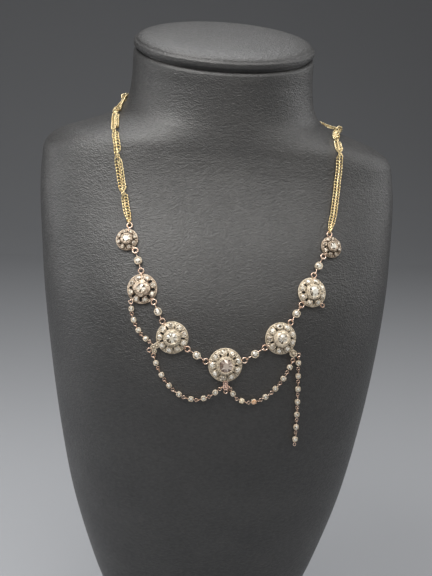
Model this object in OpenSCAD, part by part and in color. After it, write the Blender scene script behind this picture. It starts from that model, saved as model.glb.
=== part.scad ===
// A festoon cluster necklace on a plain neck bust, in millimetres.
// +Z is up and the bust faces -Y. The origin is the middle of the bounding box's underside.

/* [Bust] */
// Width of the bust across the shoulders
shoulder_w = 196; // [190:1:202]
// Forward slope of the neck's rim in degrees
neck_slope = 11; // [7:1:13]
// How far the right shoulder hangs lower than the left, in degrees
shoulder_lean = 1.4; // [0:0.1:2]
// Height of the dark groove between the neck and its cap
groove_h = 1.7; // [1:0.1:2.5]
// Depth of that groove
groove_depth = 1.8; // [1:0.1:2.5]
// Height of the cap's upright edge
cap_edge_h = 3.4; // [2.5:0.1:4.5]
// Rise of the cap's crown above its edge
cap_crown_h = 5.6; // [4:0.1:7]

/* [Clusters] */
// Diameter of the middle cluster
middle_d = 17.5; // [17:0.1:18]
// Diameter of the clusters beside the middle one
inner_d = 16.5; // [16:0.1:17]
// Diameter of the upper clusters
upper_d = 15.5; // [15:0.1:16]
// Diameter of the two end clusters
end_d = 11.5; // [11:0.1:12]
// Share of a cluster's diameter that its centre collet takes
core_share = 0.5; // [0.48:0.01:0.52]
// Wall of a centre collet
core_wall = 0.45; // [0.4:0.05:0.55]
// Outward tilt of the petal collets in degrees
petal_tilt = 18; // [12:1:22]
// Wall of a petal collet
petal_wall = 0.35; // [0.3:0.05:0.4]
// Wire of a cluster's rim
rim_wire = 0.9; // [0.8:0.05:1]
// Diameter of the holes pierced between the petals
pierced_d = 1.2; // [0.9:0.05:1.3]

/* [Rings and connectors] */
// Height of the links' middle above the bust
link_lift = 1.3; // [1.25:0.05:1.5]
// Diameter of a cluster's connector ring, measured on the wire's middle
ring_d = 2.7; // [2.6:0.05:2.8]
// Wire of a connector ring
ring_wire = 0.76; // [0.7:0.02:0.8]
// Diameter of a string's ring, measured on the wire's middle
small_ring_d = 2; // [1.9:0.05:2.1]
// Wire of a string's ring
small_ring_wire = 0.6; // [0.55:0.05:0.65]
// Diameter of a connector's collet
connector_d = 4; // [3.7:0.1:4.2]
// Diameter of a connector's end loop, measured on the wire's middle
loop_d = 1.8; // [1.7:0.05:1.9]
// Wire of a connector's loops and stems
loop_wire = 0.5; // [0.45:0.05:0.5]

/* [Strings] */
// Diameter of a string's collets
strung_d = 3.1; // [3:0.05:3.2]
// Height of a string's collets
strung_h = 1.5; // [1.3:0.1:1.7]
// Diameter of a string's eyes, measured on the wire's middle
eye_d = 1.6; // [1.5:0.05:1.65]
// Wire of a string's eyes
eye_wire = 0.44; // [0.4:0.02:0.44]
// Clearance between wires that hook through each other
play = 0.12; // [0.1:0.01:0.14]

/* [Chain] */
// Width of one strand of the double chain
strand_w = 2.2; // [2:0.1:2.4]
// Thickness of a strand
strand_t = 1.5; // [1.3:0.1:1.8]
// Gap between the two strands, and below them
strand_gap = 0.4; // [0.3:0.05:0.5]
// Length of the clasp's barrel
clasp_l = 9; // [8:0.5:10]
// Diameter of the clasp's barrel
clasp_d = 3.6; // [3:0.1:4]

/* [Hidden] */
$fn = 32;

leather = "#3a3b3d";
silver = "#d8d2c4";
rose_gold = "#d9a58c";
pale_gold = "#dcc888";
diamond = "#eef3f2";

// How far the whole model moves back, so that its box is centred on the origin
middle_y = 23.05;
// Half of the shoulders' width that the table of bust sections is drawn for
drawn_half_w = 98;
// Gap between pieces that lie against each other
seat_gap = 0.15;
// Height above the bust at which a cluster's back lies
back_gap = 0.3;

// Bust sections, each: height, half width, middle y, front y, back y, roundness exponent
BUST_ROWS = [
    [0, 42, -26, -52, 4, 2.2],
    [30, 50.5, -26, -61, 9, 2.2],
    [60, 62.5, -26, -70, 15, 2.2],
    [100, 75.3, -26, -80, 22, 2.2],
    [140, 83.7, -26, -86, 27, 2.2],
    [180, 90, -25, -87.5, 31, 2.2],
    [215, 94.4, -21, -81.5, 34, 2.25],
    [240, 96.4, -16, -70.5, 36, 2.3],
    [265, 98, -9, -55.5, 38, 2.4],
    [280, 97.5, -4, -48, 39, 2.5],
    [290, 95.3, -2, -45, 39.5, 2.5],
    [296, 87.4, -1, -44, 40, 2.5],
    [300, 76.3, 0, -43.5, 40.5, 2.4],
    [304, 65.3, 0, -43, 41, 2.3],
    [309, 55.4, 0, -42.5, 42, 2.2],
    [317, 51.3, 0, -42, 42, 2.1],
    [328, 49.9, 0, -42, 42, 2],
    [341, 49.6, 0, -42, 42, 2],
    [342.4, 49, 0, -41.4, 41.4, 2],
    [343, 48, 0, -40.4, 40.4, 2]];
// Columns of BUST_ROWS
HEIGHT = 0;
HALF_W = 1;
MIDDLE = 2;
FRONT = 3;
BACK = 4;
EXPONENT = 5;
// Sides of a bust section, and the tallest step between two sections
bust_sides = 48;
bust_step = 14;
// Height at which the neck's rings begin to slope forward
slope_from = 322;
// Heights between which the shoulders' lean sets in, and between which it fades again
LEAN_HEIGHTS = [256, 286, 306, 332];
neck_top = BUST_ROWS[len(BUST_ROWS) - 1][HEIGHT];
// Height of the bust section whose width the cap takes
cap_seat = 341;
// Cap: rounding of its edge, where its crown starts above and inside the edge, and the crown's curve
edge_roll = 0.5;
crown_start = 0.9;
crown_in = 1.8;
crown_power = 2.2;

// Clusters from left to right, each: x, height, diameter, petals, then for each of the two
// connector rings its angle and how far its middle lies outside the rim
CLUSTERS = [
    [-53.2, 248.5, end_d, 8, 86, 1.9, -47, 1.9],
    [-45.3, 225.7, upper_d, 8, 99, 1.5, -43, 1.5],
    [-29.8, 203, inner_d, 9, 124, 1.5, -33, 1.5],
    [-2.5, 190.3, middle_d, 9, 170, 1.5, 15, 1.5],
    [26, 203.8, inner_d, 9, -152, 1.5, 57, 1.5],
    [42.6, 226.1, upper_d, 8, -136, 1.5, 78, 1.3],
    [54, 247.6, end_d, 8, -139, 1.9, 91, 1.2]];
X = 0;
Z = 1;
DIAMETER = 2;
PETALS = 3;
FIRST_RING = 4;
SECOND_RING = 6;
// Small string rings on the upper clusters: distance of the middle outside the rim, angle
left_string_ring = [1, -125];
right_string_ring = [1, -54];
// Lobes of the lugs, each: distance outside the rim, angle, radius
LEFT_LUG = [[0.6, -150, 1.5], [2.4, -150, 1.5], [3.2, -139, 1.2]];
MIDDLE_LUG = [[0.7, -87, 1.3], [2.6, -87, 1.5]];
RIGHT_LUG = [[0.4, -49, 1.3], [2.1, -50, 1.9]];
lug_h = 1.2;
// Lug rings: distance of the middle outside the rim, angle
left_outer_ring = [5, -148];
left_lower_ring = [4.9, -133];
middle_ring = [4.9, -87];
right_outer_ring = [4.7, -43];
right_lower_ring = [4.9, -60];
// Eyes on the left and the middle lug, in the same two values
left_lug_eye = [2.9, -163];
middle_left_eye = [3.1, -98];
middle_right_eye = [3.1, -76];
// How far a soldered ring's root reaches in from the rim
root_depth = 1.2;
// Headings of the chain's first link, left and right, in the end clusters' planes
left_heading = 104;
right_heading = 74;

// Strings, each: first bend x, first bend height, second bend x, second bend height, stones.
// A string runs as a smooth curve from its ring to its eye, pulled towards the two bends.
STRINGS = [
    [-50.8, 213, -48, 203.5, 4],
    [-35, 180, -20, 161.5, 7],
    [20.5, 162, 1, 170, 7],
    [36.5, 180, 37, 162, 7]];
UPPER_LEFT = 0;
LOWER_LEFT = 1;
LOWER_RIGHT = 2;
LOOSE = 3;
STONES = 4;
// Where the loose string ends: x and height
loose_end = [37, 146];
curve_samples = 60;
// Settings over which a string settles from its end's height to the height of the rest
lift_run = 2;

// Route of the double chain on each side, each: angle round the bust from its front, height
LEFT_ROUTE = [[29.1, 261.5], [29.6, 268], [30.2, 275], [31.1, 282.5], [33, 290], [36.6, 294.8],
    [43.7, 298.5], [57.4, 302.7], [75.9, 306.7], [88, 308.8], [94, 311], [98.5, 313],
    [104, 314], [112, 314.6], [125, 316.8], [150, 322.3], [172, 325.5]];
RIGHT_ROUTE = [[30.7, 262.5], [31.1, 267.5], [31.6, 275.6], [32.4, 283.7], [34.4, 291.3],
    [38.5, 296], [43.1, 298.2], [49.4, 300.3], [55.4, 302], [62, 303.2], [70, 303.9], [80, 304],
    [92, 303.5], [104, 303.4], [111, 304.6], [117, 308], [124, 312.5], [134, 317], [150, 321.5],
    [172, 325.5]];
nape_height = 325.5;
route_samples = 6;
strand_rings = 40;
strand_sides = 8;

// Cluster shell: its thickness, and how far it runs in under the centre collet's wall
shell_t = 0.6;
shell_lap = 0.25;
// How far a centre collet narrows towards its foot
core_taper = 0.4;
// How far a centre stone's girdle lies below the top of its collet
centre_seat = 0.2;
// Petal collets: their radius's share of the room between the centre collet and the rim, and how
// far they stay inside the rim
petal_share = 0.43;
petal_inset = 0.5;
// Petal collet: height of its foot above the rim's middle, its floor, and its wall above the girdle
petal_foot = 0.3;
petal_floor = 0.5;
petal_lip = 0.2;
// Connector and strung collets: wall, height, how far the back lies below the loops' middle
connector_wall = 0.4;
connector_h = 1.9;
connector_back = 0.9;
strung_wall = 0.35;
strung_back = 0.8;
// How far these stones' girdles lie below the tops of their collets
strung_seat = 0.1;
// How far a bar runs into the piece that it is soldered to
weld = 0.25;
// Span over which the bust's slope is measured
probe = 0.5;

// Cut of a stone as shares of its radius
table_share = 0.58;
crown_share = 0.34;
girdle_share = 0.08;
pavilion_share = 0.62;
stone_facets = 8;
centre_facets = 12;
stone_gap = 0.12;

function clamp(v, low, high) = max(low, min(high, v));
function signed_pow(v, e) = sign(v) * pow(abs(v), e);
function unit(v) = v / norm(v);
function smooth(t) = let (c = clamp(t, 0, 1)) c * c * (3 - 2 * c);

// Smooth value between rows k and k + 1 of a table whose first column rises
function row(rows, k) = rows[clamp(k, 0, len(rows) - 1)];
function rise(rows, k) =
    (row(rows, k + 1) - row(rows, k - 1)) / (row(rows, k + 1)[0] - row(rows, k - 1)[0]);
function blend(a, b, ma, mb, t) =
    (2 * t * t * t - 3 * t * t + 1) * a + (t * t * t - 2 * t * t + t) * ma
    + (3 * t * t - 2 * t * t * t) * b + (t * t * t - t * t) * mb;
function row_below(rows, z, k = 0) =
    k >= len(rows) - 2 || rows[k + 1][0] > z ? k : row_below(rows, z, k + 1);
function section(z) = let (
    k = row_below(BUST_ROWS, z),
    h = BUST_ROWS[k + 1][HEIGHT] - BUST_ROWS[k][HEIGHT],
    s = blend(BUST_ROWS[k], BUST_ROWS[k + 1], rise(BUST_ROWS, k) * h,
              rise(BUST_ROWS, k + 1) * h, (z - BUST_ROWS[k][HEIGHT]) / h))
    [z, s[HALF_W] * shoulder_w / 2 / drawn_half_w, s[MIDDLE] + middle_y, s[FRONT] + middle_y,
     s[BACK] + middle_y, s[EXPONENT]];

// Point of the bust's skin at an angle from the front, positive towards +X
function rim_tilt(z) = tan(neck_slope) * smooth((z - slope_from) / (neck_top - slope_from));
function lean(z) = let (h = LEAN_HEIGHTS)
    tan(shoulder_lean) * smooth((z - h[0]) / (h[1] - h[0])) * (1 - smooth((z - h[2]) / (h[3] - h[2])));
function skin(turn, z) = let (
    s = section(z),
    e = 2 / s[EXPONENT],
    ahead = signed_pow(cos(turn), e),
    x = s[HALF_W] * signed_pow(sin(turn), e),
    y = s[MIDDLE] - (ahead > 0 ? s[MIDDLE] - s[FRONT] : s[BACK] - s[MIDDLE]) * ahead)
    [x, y, z + rim_tilt(z) * (y - middle_y) - lean(z) * x];
function turn_at(x, z) = let (s = section(z))
    sign(x) * asin(pow(min(1, abs(x) / s[HALF_W]), s[EXPONENT] / 2));
function skin_normal(turn, z) =
    unit(cross(skin(turn + probe, z) - skin(turn - probe, z), skin(turn, z + probe) - skin(turn, z - probe)));
function lifted(turn, z, lift) = skin(turn, z) + lift * skin_normal(turn, z);

// The same on the bust's front, named by x and height
function front_y(x, z) = let (s = section(z))
    s[MIDDLE] - (s[MIDDLE] - s[FRONT]) * pow(1 - pow(abs(x) / s[HALF_W], s[EXPONENT]), 1 / s[EXPONENT]);
function front_normal(x, z) = unit([
    (front_y(x + probe, z) - front_y(x - probe, z)) / probe / 2, -1,
    (front_y(x, z + probe) - front_y(x, z - probe)) / probe / 2]);
function front_point(x, z, lift) = [x, front_y(x, z), z] + lift * front_normal(x, z);
function height_above(p) = (front_y(p.x, p.z) - p.y) * -front_normal(p.x, p.z).y;

// A frame has its origin, its x axis and its outward z axis
function frame(origin, along, out) = let (
    z = unit(out - (out * along) * along),
    y = cross(z, along))
    [[along.x, y.x, z.x, origin.x], [along.y, y.y, z.y, origin.y], [along.z, y.z, z.z, origin.z]];
function in_frame(f, p) = [for (r = f) r[0] * p.x + r[1] * p.y + r[2] * p.z + r[3]];
function polar(distance, angle, z) = [distance * cos(angle), distance * sin(angle), z];

function cluster_frame(i) = let (
    x = CLUSTERS[i][X],
    z = CLUSTERS[i][Z],
    n = front_normal(x, z))
    frame([x, front_y(x, z), z], unit(cross([0, 0, 1], n)), n);
// Point at a distance outside cluster i's rim and an angle, in the cluster's own frame
function beyond_rim(i, at) = polar(CLUSTERS[i][DIAMETER] / 2 + at[0], at[1], link_lift);
function on_cluster(i, at) = in_frame(cluster_frame(i), beyond_rim(i, at));
function chain_ring(i, column) = [CLUSTERS[i][column + 1], CLUSTERS[i][column]];

// Sizes inside a cluster of diameter d
function core_r(d) = d * core_share / 2;
function core_top(d) = 1.6 + 0.15 * d;
function petal_r(d) = (d / 2 - core_r(d)) * petal_share;
function petal_ring_r(d) = d / 2 - petal_r(d) - petal_inset;
function petal_stone_r(d) = petal_r(d) - petal_wall - stone_gap;
function petal_girdle(d) = petal_floor + stone_gap + petal_stone_r(d) * pavilion_share;
function dome_top(d) = core_top(d) - 1.4;
rim_z = back_gap + rim_wire / 2;

// A round wire ring lying in the xy plane, or standing in the xz plane
module wire_ring(d, wire) {
    rotate_extrude() translate([d / 2, 0]) circle(d = wire);
}
module standing_ring(d, wire) {
    rotate([90, 0, 0]) wire_ring(d, wire);
}
module bar(from, to, wire) {
    translate([from, 0, 0]) rotate([0, 90, 0]) cylinder(d = wire, h = to - from);
}
module tube(outer_r, wall, h) {
    difference() {
        cylinder(r = outer_r, h = h);
        translate([0, 0, -1]) cylinder(r = outer_r - wall, h = h + 2);
    }
}

// A cut stone: a flat table, a ring of crown facets, a thin girdle and a pointed pavilion
module cut_stone(r, n) {
    ring = [for (level = [[table_share, crown_share], [1, girdle_share / 2], [1, -girdle_share / 2]])
        [for (k = [0 : n - 1]) polar(r * level[0], (k + (level[0] < 1 ? 0 : 0.5)) * 360 / n, r * level[1])]];
    points = concat(ring[0], ring[1], ring[2], [[0, 0, -r * pavilion_share]]);
    crown = [for (k = [0 : n - 1]) each [
        [k, (k + 1) % n, n + k],
        [(k + 1) % n, n + (k + 1) % n, n + k]]];
    girdle = [for (k = [0 : n - 1]) [n + k, n + (k + 1) % n, 2 * n + (k + 1) % n, 2 * n + k]];
    pavilion = [for (k = [0 : n - 1]) [2 * n + k, 2 * n + (k + 1) % n, 3 * n]];
    color(diamond) polyhedron(points, concat([[for (k = [0 : n - 1]) n - 1 - k]], crown, girdle, pavilion));
}

// Bust: sections lofted from the table
module bust() {
    heights = concat([for (k = [0 : len(BUST_ROWS) - 2]) let (
            a = BUST_ROWS[k][HEIGHT],
            b = BUST_ROWS[k + 1][HEIGHT],
            steps = max(b - a > 2 ? 2 : 1, ceil((b - a) / bust_step)))
        each [for (j = [0 : steps - 1]) a + (b - a) * j / steps]], [neck_top]);
    color(leather) loft([for (z = heights) [for (k = [0 : bust_sides - 1]) skin(k * 360 / bust_sides, z)]]);
}
// Closed skin through rings of points, each counted the same way round
module loft(rings) {
    n = len(rings[0]);
    last = len(rings) - 1;
    sides = [for (i = [0 : last - 1]) for (k = [0 : n - 1]) let (m = (k + 1) % n) each [
        [i * n + k, (i + 1) * n + k, (i + 1) * n + m],
        [i * n + k, (i + 1) * n + m, i * n + m]]];
    bottom = [for (k = [0 : n - 1]) k];
    top = [for (k = [0 : n - 1]) last * n + n - 1 - k];
    polyhedron([for (r = rings) each r], concat([bottom], sides, [top]));
}

// Cap: a plug in the groove, an upright edge and a low crown
module bust_cap() {
    rim = section(neck_top);
    half_w = section(cap_seat)[HALF_W];
    half_d = (rim[BACK] - rim[FRONT]) / 2 / cos(neck_slope) + half_w - rim[HALF_W];
    edge_z = groove_h + cap_edge_h;
    plug_in = groove_depth + edge_roll;
    // Each: height above the neck's rim, how far inside the cap's outline
    levels = concat(
        [[seat_gap, plug_in], [groove_h, plug_in], [groove_h + 0.15, edge_roll],
         [groove_h + 0.7, 0.1], [edge_z - 1, 0], [edge_z, edge_roll]],
        [for (t = [0 : 0.16 : 0.96]) [
            edge_z + crown_start + (cap_crown_h - crown_start) * sin(t * 90),
            crown_in + (half_w - crown_in) * pow(t, crown_power)]]);
    color(leather) translate([0, middle_y, neck_top]) rotate([neck_slope, 0, 0])
        loft([for (v = levels) let (wide = half_w - v[1], deep = half_d - v[1] * half_d / half_w)
            [for (k = [0 : bust_sides - 1]) let (a = k * 360 / bust_sides)
                [sin(a) * wide, -cos(a) * deep, v[0]]]]);
}

// Cluster: a pierced dome with a wire rim, a centre collet and a ring of petal collets
module cluster_metal(i) {
    d = CLUSTERS[i][DIAMETER];
    n = CLUSTERS[i][PETALS];
    top = core_top(d);
    r = core_r(d);
    petal_h = petal_girdle(d) + petal_lip;
    difference() {
        union() {
            translate([0, 0, rim_z]) wire_ring(d - rim_wire, rim_wire);
            rotate_extrude() polygon([
                [(d - rim_wire) / 2, rim_z - shell_t / 2], [(d - rim_wire) / 2, rim_z + shell_t / 2],
                [r - shell_lap, dome_top(d)], [r - shell_lap, dome_top(d) - shell_t]]);
            rotate_extrude() polygon([[r - core_taper - core_wall, rim_z], [r - core_taper, rim_z],
                [r, top], [r - core_wall, top]]);
            for (k = [0 : n - 1]) rotate([0, 0, (k + 0.5) * 360 / n])
                petal_place(d) cylinder(r = petal_r(d), h = petal_h);
        }
        for (k = [0 : n - 1]) {
            rotate([0, 0, (k + 0.5) * 360 / n]) petal_place(d)
                translate([0, 0, petal_floor]) cylinder(r = petal_r(d) - petal_wall, h = petal_h);
            rotate([0, 0, k * 360 / n]) translate([r + pierced_d / 2 + shell_lap, 0, 0])
                cylinder(d = pierced_d, h = top);
        }
    }
}
module petal_place(d) {
    translate([petal_ring_r(d), 0, rim_z + petal_foot]) rotate([0, petal_tilt, 0]) children();
}
// A ring soldered to its root by a short bar
module soldered_ring(root, at, d = ring_d, wire = ring_wire) {
    reach = at - root;
    translate(at) wire_ring(d, wire);
    translate(root) rotate([0, 0, atan2(reach.y, reach.x)]) bar(0, norm(reach) - d / 2, wire);
}
module rim_ring(i, at, d = ring_d, wire = ring_wire) {
    soldered_ring(beyond_rim(i, [-root_depth, at[1]]), beyond_rim(i, at), d, wire);
}
module lug_ring(i, lobe, at) {
    soldered_ring(beyond_rim(i, lobe), beyond_rim(i, at), small_ring_d, small_ring_wire);
}
module lug(i, lobes) {
    for (l = lobes) translate(beyond_rim(i, l) - [0, 0, lug_h / 2]) cylinder(r = l[2], h = lug_h);
}
// An eye standing on a lobe, turned to face along its string
module lug_eye(i, lobe, at, s) {
    root = beyond_rim(i, lobe);
    heading = heading_at(s, i);
    reach = beyond_rim(i, at) + polar(eye_d / 2, heading, 0) - root;
    translate(beyond_rim(i, at)) rotate([0, 0, heading]) standing_ring(eye_d, eye_wire);
    translate(root) rotate([0, 0, atan2(reach.y, reach.x)]) bar(0, norm(reach), eye_wire);
}

module cluster(i) {
    color(silver) multmatrix(cluster_frame(i)) union() {
        cluster_metal(i);
        rim_ring(i, chain_ring(i, FIRST_RING));
        rim_ring(i, chain_ring(i, SECOND_RING));
        if (i == 1) rim_ring(i, left_string_ring, small_ring_d, small_ring_wire);
        if (i == 5) rim_ring(i, right_string_ring, small_ring_d, small_ring_wire);
        if (i == 2) {
            lug(i, LEFT_LUG);
            lug_ring(i, LEFT_LUG[1], left_outer_ring);
            lug_ring(i, LEFT_LUG[2], left_lower_ring);
            lug_eye(i, LEFT_LUG[1], left_lug_eye, UPPER_LEFT);
        }
        if (i == 3) {
            lug(i, MIDDLE_LUG);
            lug_ring(i, MIDDLE_LUG[1], middle_ring);
            lug_eye(i, MIDDLE_LUG[1], middle_left_eye, LOWER_LEFT);
            lug_eye(i, MIDDLE_LUG[1], middle_right_eye, LOWER_RIGHT);
        }
        if (i == 4) {
            lug(i, RIGHT_LUG);
            lug_ring(i, RIGHT_LUG[1], right_outer_ring);
            lug_ring(i, RIGHT_LUG[1], right_lower_ring);
        }
    }
}
module centre_stone(i) {
    d = CLUSTERS[i][DIAMETER];
    multmatrix(cluster_frame(i)) translate([0, 0, core_top(d) - centre_seat])
        cut_stone(core_r(d) - core_wall - stone_gap, centre_facets);
}
module petal_stones(i) {
    d = CLUSTERS[i][DIAMETER];
    n = CLUSTERS[i][PETALS];
    multmatrix(cluster_frame(i)) for (k = [0 : n - 1]) rotate([0, 0, (k + 0.5) * 360 / n])
        petal_place(d) translate([0, 0, petal_girdle(d)]) cut_stone(petal_stone_r(d), stone_facets);
}

// Connector: a stone between two loops, hooked through the rings of two clusters
function hook(ring, ring_w, loop, loop_w) = (ring + loop) / 2 - (ring_w + loop_w) / 2 - play;
function connector_ends(i) =
    [on_cluster(i, chain_ring(i, SECOND_RING)), on_cluster(i + 1, chain_ring(i + 1, FIRST_RING))];
function span_frame(a, b) = let (m = (a + b) / 2) frame(m, unit(b - a), front_normal(m.x, m.z));
module connector(i) {
    ends = connector_ends(i);
    loop_x = norm(ends[1] - ends[0]) / 2 - hook(ring_d, ring_wire, loop_d, loop_wire);
    color(rose_gold) multmatrix(span_frame(ends[0], ends[1])) union() {
        translate([0, 0, -connector_back]) tube(connector_d / 2, connector_wall, connector_h);
        for (side = [-1, 1]) {
            translate([side * loop_x, 0, 0]) standing_ring(loop_d, loop_wire);
            rotate([0, 0, side < 0 ? 180 : 0]) bar(connector_d / 2 - weld, loop_x - loop_d / 2, loop_wire);
        }
    }
}
module connector_stone(i) {
    ends = connector_ends(i);
    multmatrix(span_frame(ends[0], ends[1]))
        translate([0, 0, connector_h - connector_back - strung_seat])
            cut_stone(connector_d / 2 - connector_wall - stone_gap, stone_facets);
}

// Strings: the ring each hangs from and the point it reaches
function string_ring(s) = s == UPPER_LEFT ? on_cluster(1, left_string_ring)
    : s == LOWER_LEFT ? on_cluster(2, left_lower_ring)
    : s == LOWER_RIGHT ? on_cluster(4, right_lower_ring)
    : on_cluster(4, right_outer_ring);
function string_eye(s) = s == UPPER_LEFT ? on_cluster(2, left_lug_eye)
    : s == LOWER_LEFT ? on_cluster(3, middle_left_eye)
    : s == LOWER_RIGHT ? on_cluster(3, middle_right_eye)
    : front_point(loose_end[0], loose_end[1], link_lift);
function bend(s, k) = front_point(STRINGS[s][2 * k], STRINGS[s][2 * k + 1], link_lift);
// Heading of a string's last stretch, measured in cluster i's own plane
function heading_at(s, i) = let (
    f = cluster_frame(i),
    d = string_eye(s) - bend(s, 1),
    u = [f[0][0], f[1][0], f[2][0]],
    v = [f[0][1], f[1][1], f[2][1]])
    atan2(d * v, d * u);
eye_hook = hook(eye_d, eye_wire, eye_d, eye_wire);
ring_hook = hook(small_ring_d, small_ring_wire, eye_d, eye_wire);
function string_start(s) = let (c = string_ring(s)) c + (ring_hook - eye_hook / 2) * unit(bend(s, 0) - c);
function string_end(s) = let (c = string_eye(s)) c - (s == LOOSE ? 0 : eye_hook / 2) * unit(c - bend(s, 1));
function bezier(p, t) = pow(1 - t, 3) * p[0] + 3 * t * pow(1 - t, 2) * p[1]
    + 3 * t * t * (1 - t) * p[2] + t * t * t * p[3];
// Foot of a point on the bust's front: x, height and how far it lies above the skin
function foot(p) = let (h = height_above(p), n = front_normal(p.x, p.z)) [p.x - h * n.x, p.z - h * n.z, h];
function string_curve(s) = let (
    a = foot(string_start(s)),
    b = foot(string_end(s)),
    n = STRINGS[s][STONES],
    bends = [[a.x, a.y], [STRINGS[s][0], STRINGS[s][1]], [STRINGS[s][2], STRINGS[s][3]], [b.x, b.y]])
    [for (k = [0 : curve_samples]) let (
        t = k / curve_samples,
        q = bezier(bends, t),
        lift = link_lift + (a.z - link_lift) * (1 - smooth(t * n / lift_run))
            + (b.z - link_lift) * (1 - smooth((1 - t) * n / lift_run)))
        front_point(q.x, q.y, lift)];
function lengths(p, k = 0, total = 0, found = []) = k >= len(p) ? found
    : let (next = total + (k == 0 ? 0 : norm(p[k] - p[k - 1])))
      lengths(p, k + 1, next, concat(found, [next]));
function spaced(p, n) = let (
    run = lengths(p),
    table = [for (k = [0 : len(p) - 1]) [run[k], k]])
    [for (j = [0 : n]) let (
        at = lookup(run[len(run) - 1] * j / n, table),
        k = min(floor(at), len(p) - 2))
        p[k] + (at - k) * (p[k + 1] - p[k])];
function string_joints(s) = spaced(string_curve(s), STRINGS[s][STONES]);

// One stone's setting with an eye standing at its start and an eye lying flat at its end
module strung_setting(pitch) {
    eye_x = (pitch - eye_hook) / 2;
    translate([0, 0, -strung_back]) tube(strung_d / 2, strung_wall, strung_h);
    translate([-eye_x, 0, 0]) standing_ring(eye_d, eye_wire);
    translate([eye_x, 0, 0]) wire_ring(eye_d, eye_wire);
    bar(-eye_x + eye_d / 2, -strung_d / 2 + weld, eye_wire);
    bar(strung_d / 2 - weld, eye_x - eye_d / 2, eye_wire);
}
module along_string(s) {
    joints = string_joints(s);
    for (k = [0 : STRINGS[s][STONES] - 1]) {
        $pitch = norm(joints[k + 1] - joints[k]);
        multmatrix(span_frame(joints[k], joints[k + 1])) children();
    }
}
module string_metal(s) {
    color(rose_gold) along_string(s) strung_setting($pitch);
}
module string_stones(s) {
    along_string(s) translate([0, 0, strung_h - strung_back - strung_seat])
        cut_stone(strung_d / 2 - strung_wall - stone_gap, stone_facets);
}

// Chain: from a ring on each end cluster round the neck to the clasp at the nape
end_hook = hook(ring_d, ring_wire, small_ring_d, small_ring_wire);
module end_ring(i, column, heading) {
    color(pale_gold) multmatrix(cluster_frame(i))
        translate(beyond_rim(i, chain_ring(i, column)) + polar(end_hook, heading, 0))
            rotate([0, 0, heading]) standing_ring(small_ring_d, small_ring_wire);
}
// The chain's first point, as an angle round the bust and a height
function chain_start(i, column, heading) = let (
    away = end_hook + (small_ring_d + small_ring_wire) / 2 + seat_gap,
    f = foot(in_frame(cluster_frame(i), beyond_rim(i, chain_ring(i, column)) + polar(away, heading, 0))))
    [abs(turn_at(f.x, f.y)), f.y];
function route_curve(rows, side) = [for (k = [0 : len(rows) - 2])
    each [for (j = [0 : route_samples - (k == len(rows) - 2 ? 0 : 1)]) let (
        t = j / route_samples,
        m0 = (row(rows, k + 1) - row(rows, k - 1)) / 2,
        m1 = (row(rows, k + 2) - row(rows, k)) / 2,
        q = blend(row(rows, k), row(rows, k + 1), m0, m1, t))
        [side * q.x, q.y]]];
module strand(rows, side, offset) {
    flat = route_curve(rows, side);
    lift = strand_t / 2 + strand_gap;
    middle = [for (q = flat) concat(lifted(q.x, q.y, lift), skin_normal(q.x, q.y))];
    stations = spaced_rows(middle, strand_rings - 1);
    rings = [for (k = [0 : strand_rings - 1]) let (
        a = stations[max(0, k - 1)],
        b = stations[min(strand_rings - 1, k + 1)],
        here = stations[k],
        along = unit([b[0] - a[0], b[1] - a[1], b[2] - a[2]]),
        f = frame([here[0], here[1], here[2]], along, [here[3], here[4], here[5]]))
        [for (j = [0 : strand_sides - 1]) let (c = 360 * (j + 0.5) / strand_sides)
            in_frame(f, [0, offset + strand_w / 2 * cos(c), strand_t / 2 * sin(c)])]];
    color(pale_gold) loft(rings);
}
function xyz(row) = [row[0], row[1], row[2]];
function spaced_rows(rows, n) = let (
    run = lengths([for (r = rows) xyz(r)]),
    table = [for (k = [0 : len(rows) - 1]) [run[k], k]])
    [for (j = [0 : n]) let (
        at = lookup(run[len(run) - 1] * j / n, table),
        k = min(floor(at), len(rows) - 2))
        rows[k] + (at - k) * (rows[k + 1] - rows[k])];
strand_offset = (strand_w + strand_gap) / 2;
left_rows = concat([chain_start(0, FIRST_RING, left_heading)], LEFT_ROUTE);
right_rows = concat([chain_start(6, SECOND_RING, right_heading)], RIGHT_ROUTE);

module clasp() {
    at = lifted(180, nape_height, clasp_d / 2 + strand_gap);
    color(pale_gold) multmatrix(frame(at, [1, 0, 0], skin_normal(180, nape_height))) union() {
        translate([-clasp_l / 2, 0, 0]) rotate([0, 90, 0]) cylinder(d = clasp_d, h = clasp_l);
        for (side = [-1, 1])
            translate([side * (clasp_l + small_ring_d - weld) / 2, 0, 0])
                wire_ring(small_ring_d, small_ring_wire);
    }
}

bust();
bust_cap();
clasp();
end_ring(0, FIRST_RING, left_heading);  // left_end_ring
end_ring(6, SECOND_RING, right_heading);  // right_end_ring
strand(left_rows, -1, -strand_offset);  // left_strand_inner
strand(left_rows, -1, strand_offset);  // left_strand_outer
strand(right_rows, 1, strand_offset);  // right_strand_inner
strand(right_rows, 1, -strand_offset);  // right_strand_outer
string_metal(UPPER_LEFT);  // upper_left_string
string_metal(LOWER_LEFT);  // lower_left_string
string_metal(LOWER_RIGHT);  // lower_right_string
string_metal(LOOSE);  // loose_string
string_stones(UPPER_LEFT);  // upper_left_string_stones
string_stones(LOWER_LEFT);  // lower_left_string_stones
string_stones(LOWER_RIGHT);  // lower_right_string_stones
string_stones(LOOSE);  // loose_string_stones
for (i = [0 : 6]) {
    cluster(i);
    centre_stone(i);
    petal_stones(i);
}
for (i = [0 : 5]) {
    connector(i);
    connector_stone(i);
}
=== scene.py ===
"""The looks of a festoon cluster necklace on a leather-covered neck bust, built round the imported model."""
import math
import random

import bpy
import numpy as np
from mathutils import Matrix, Vector


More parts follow.
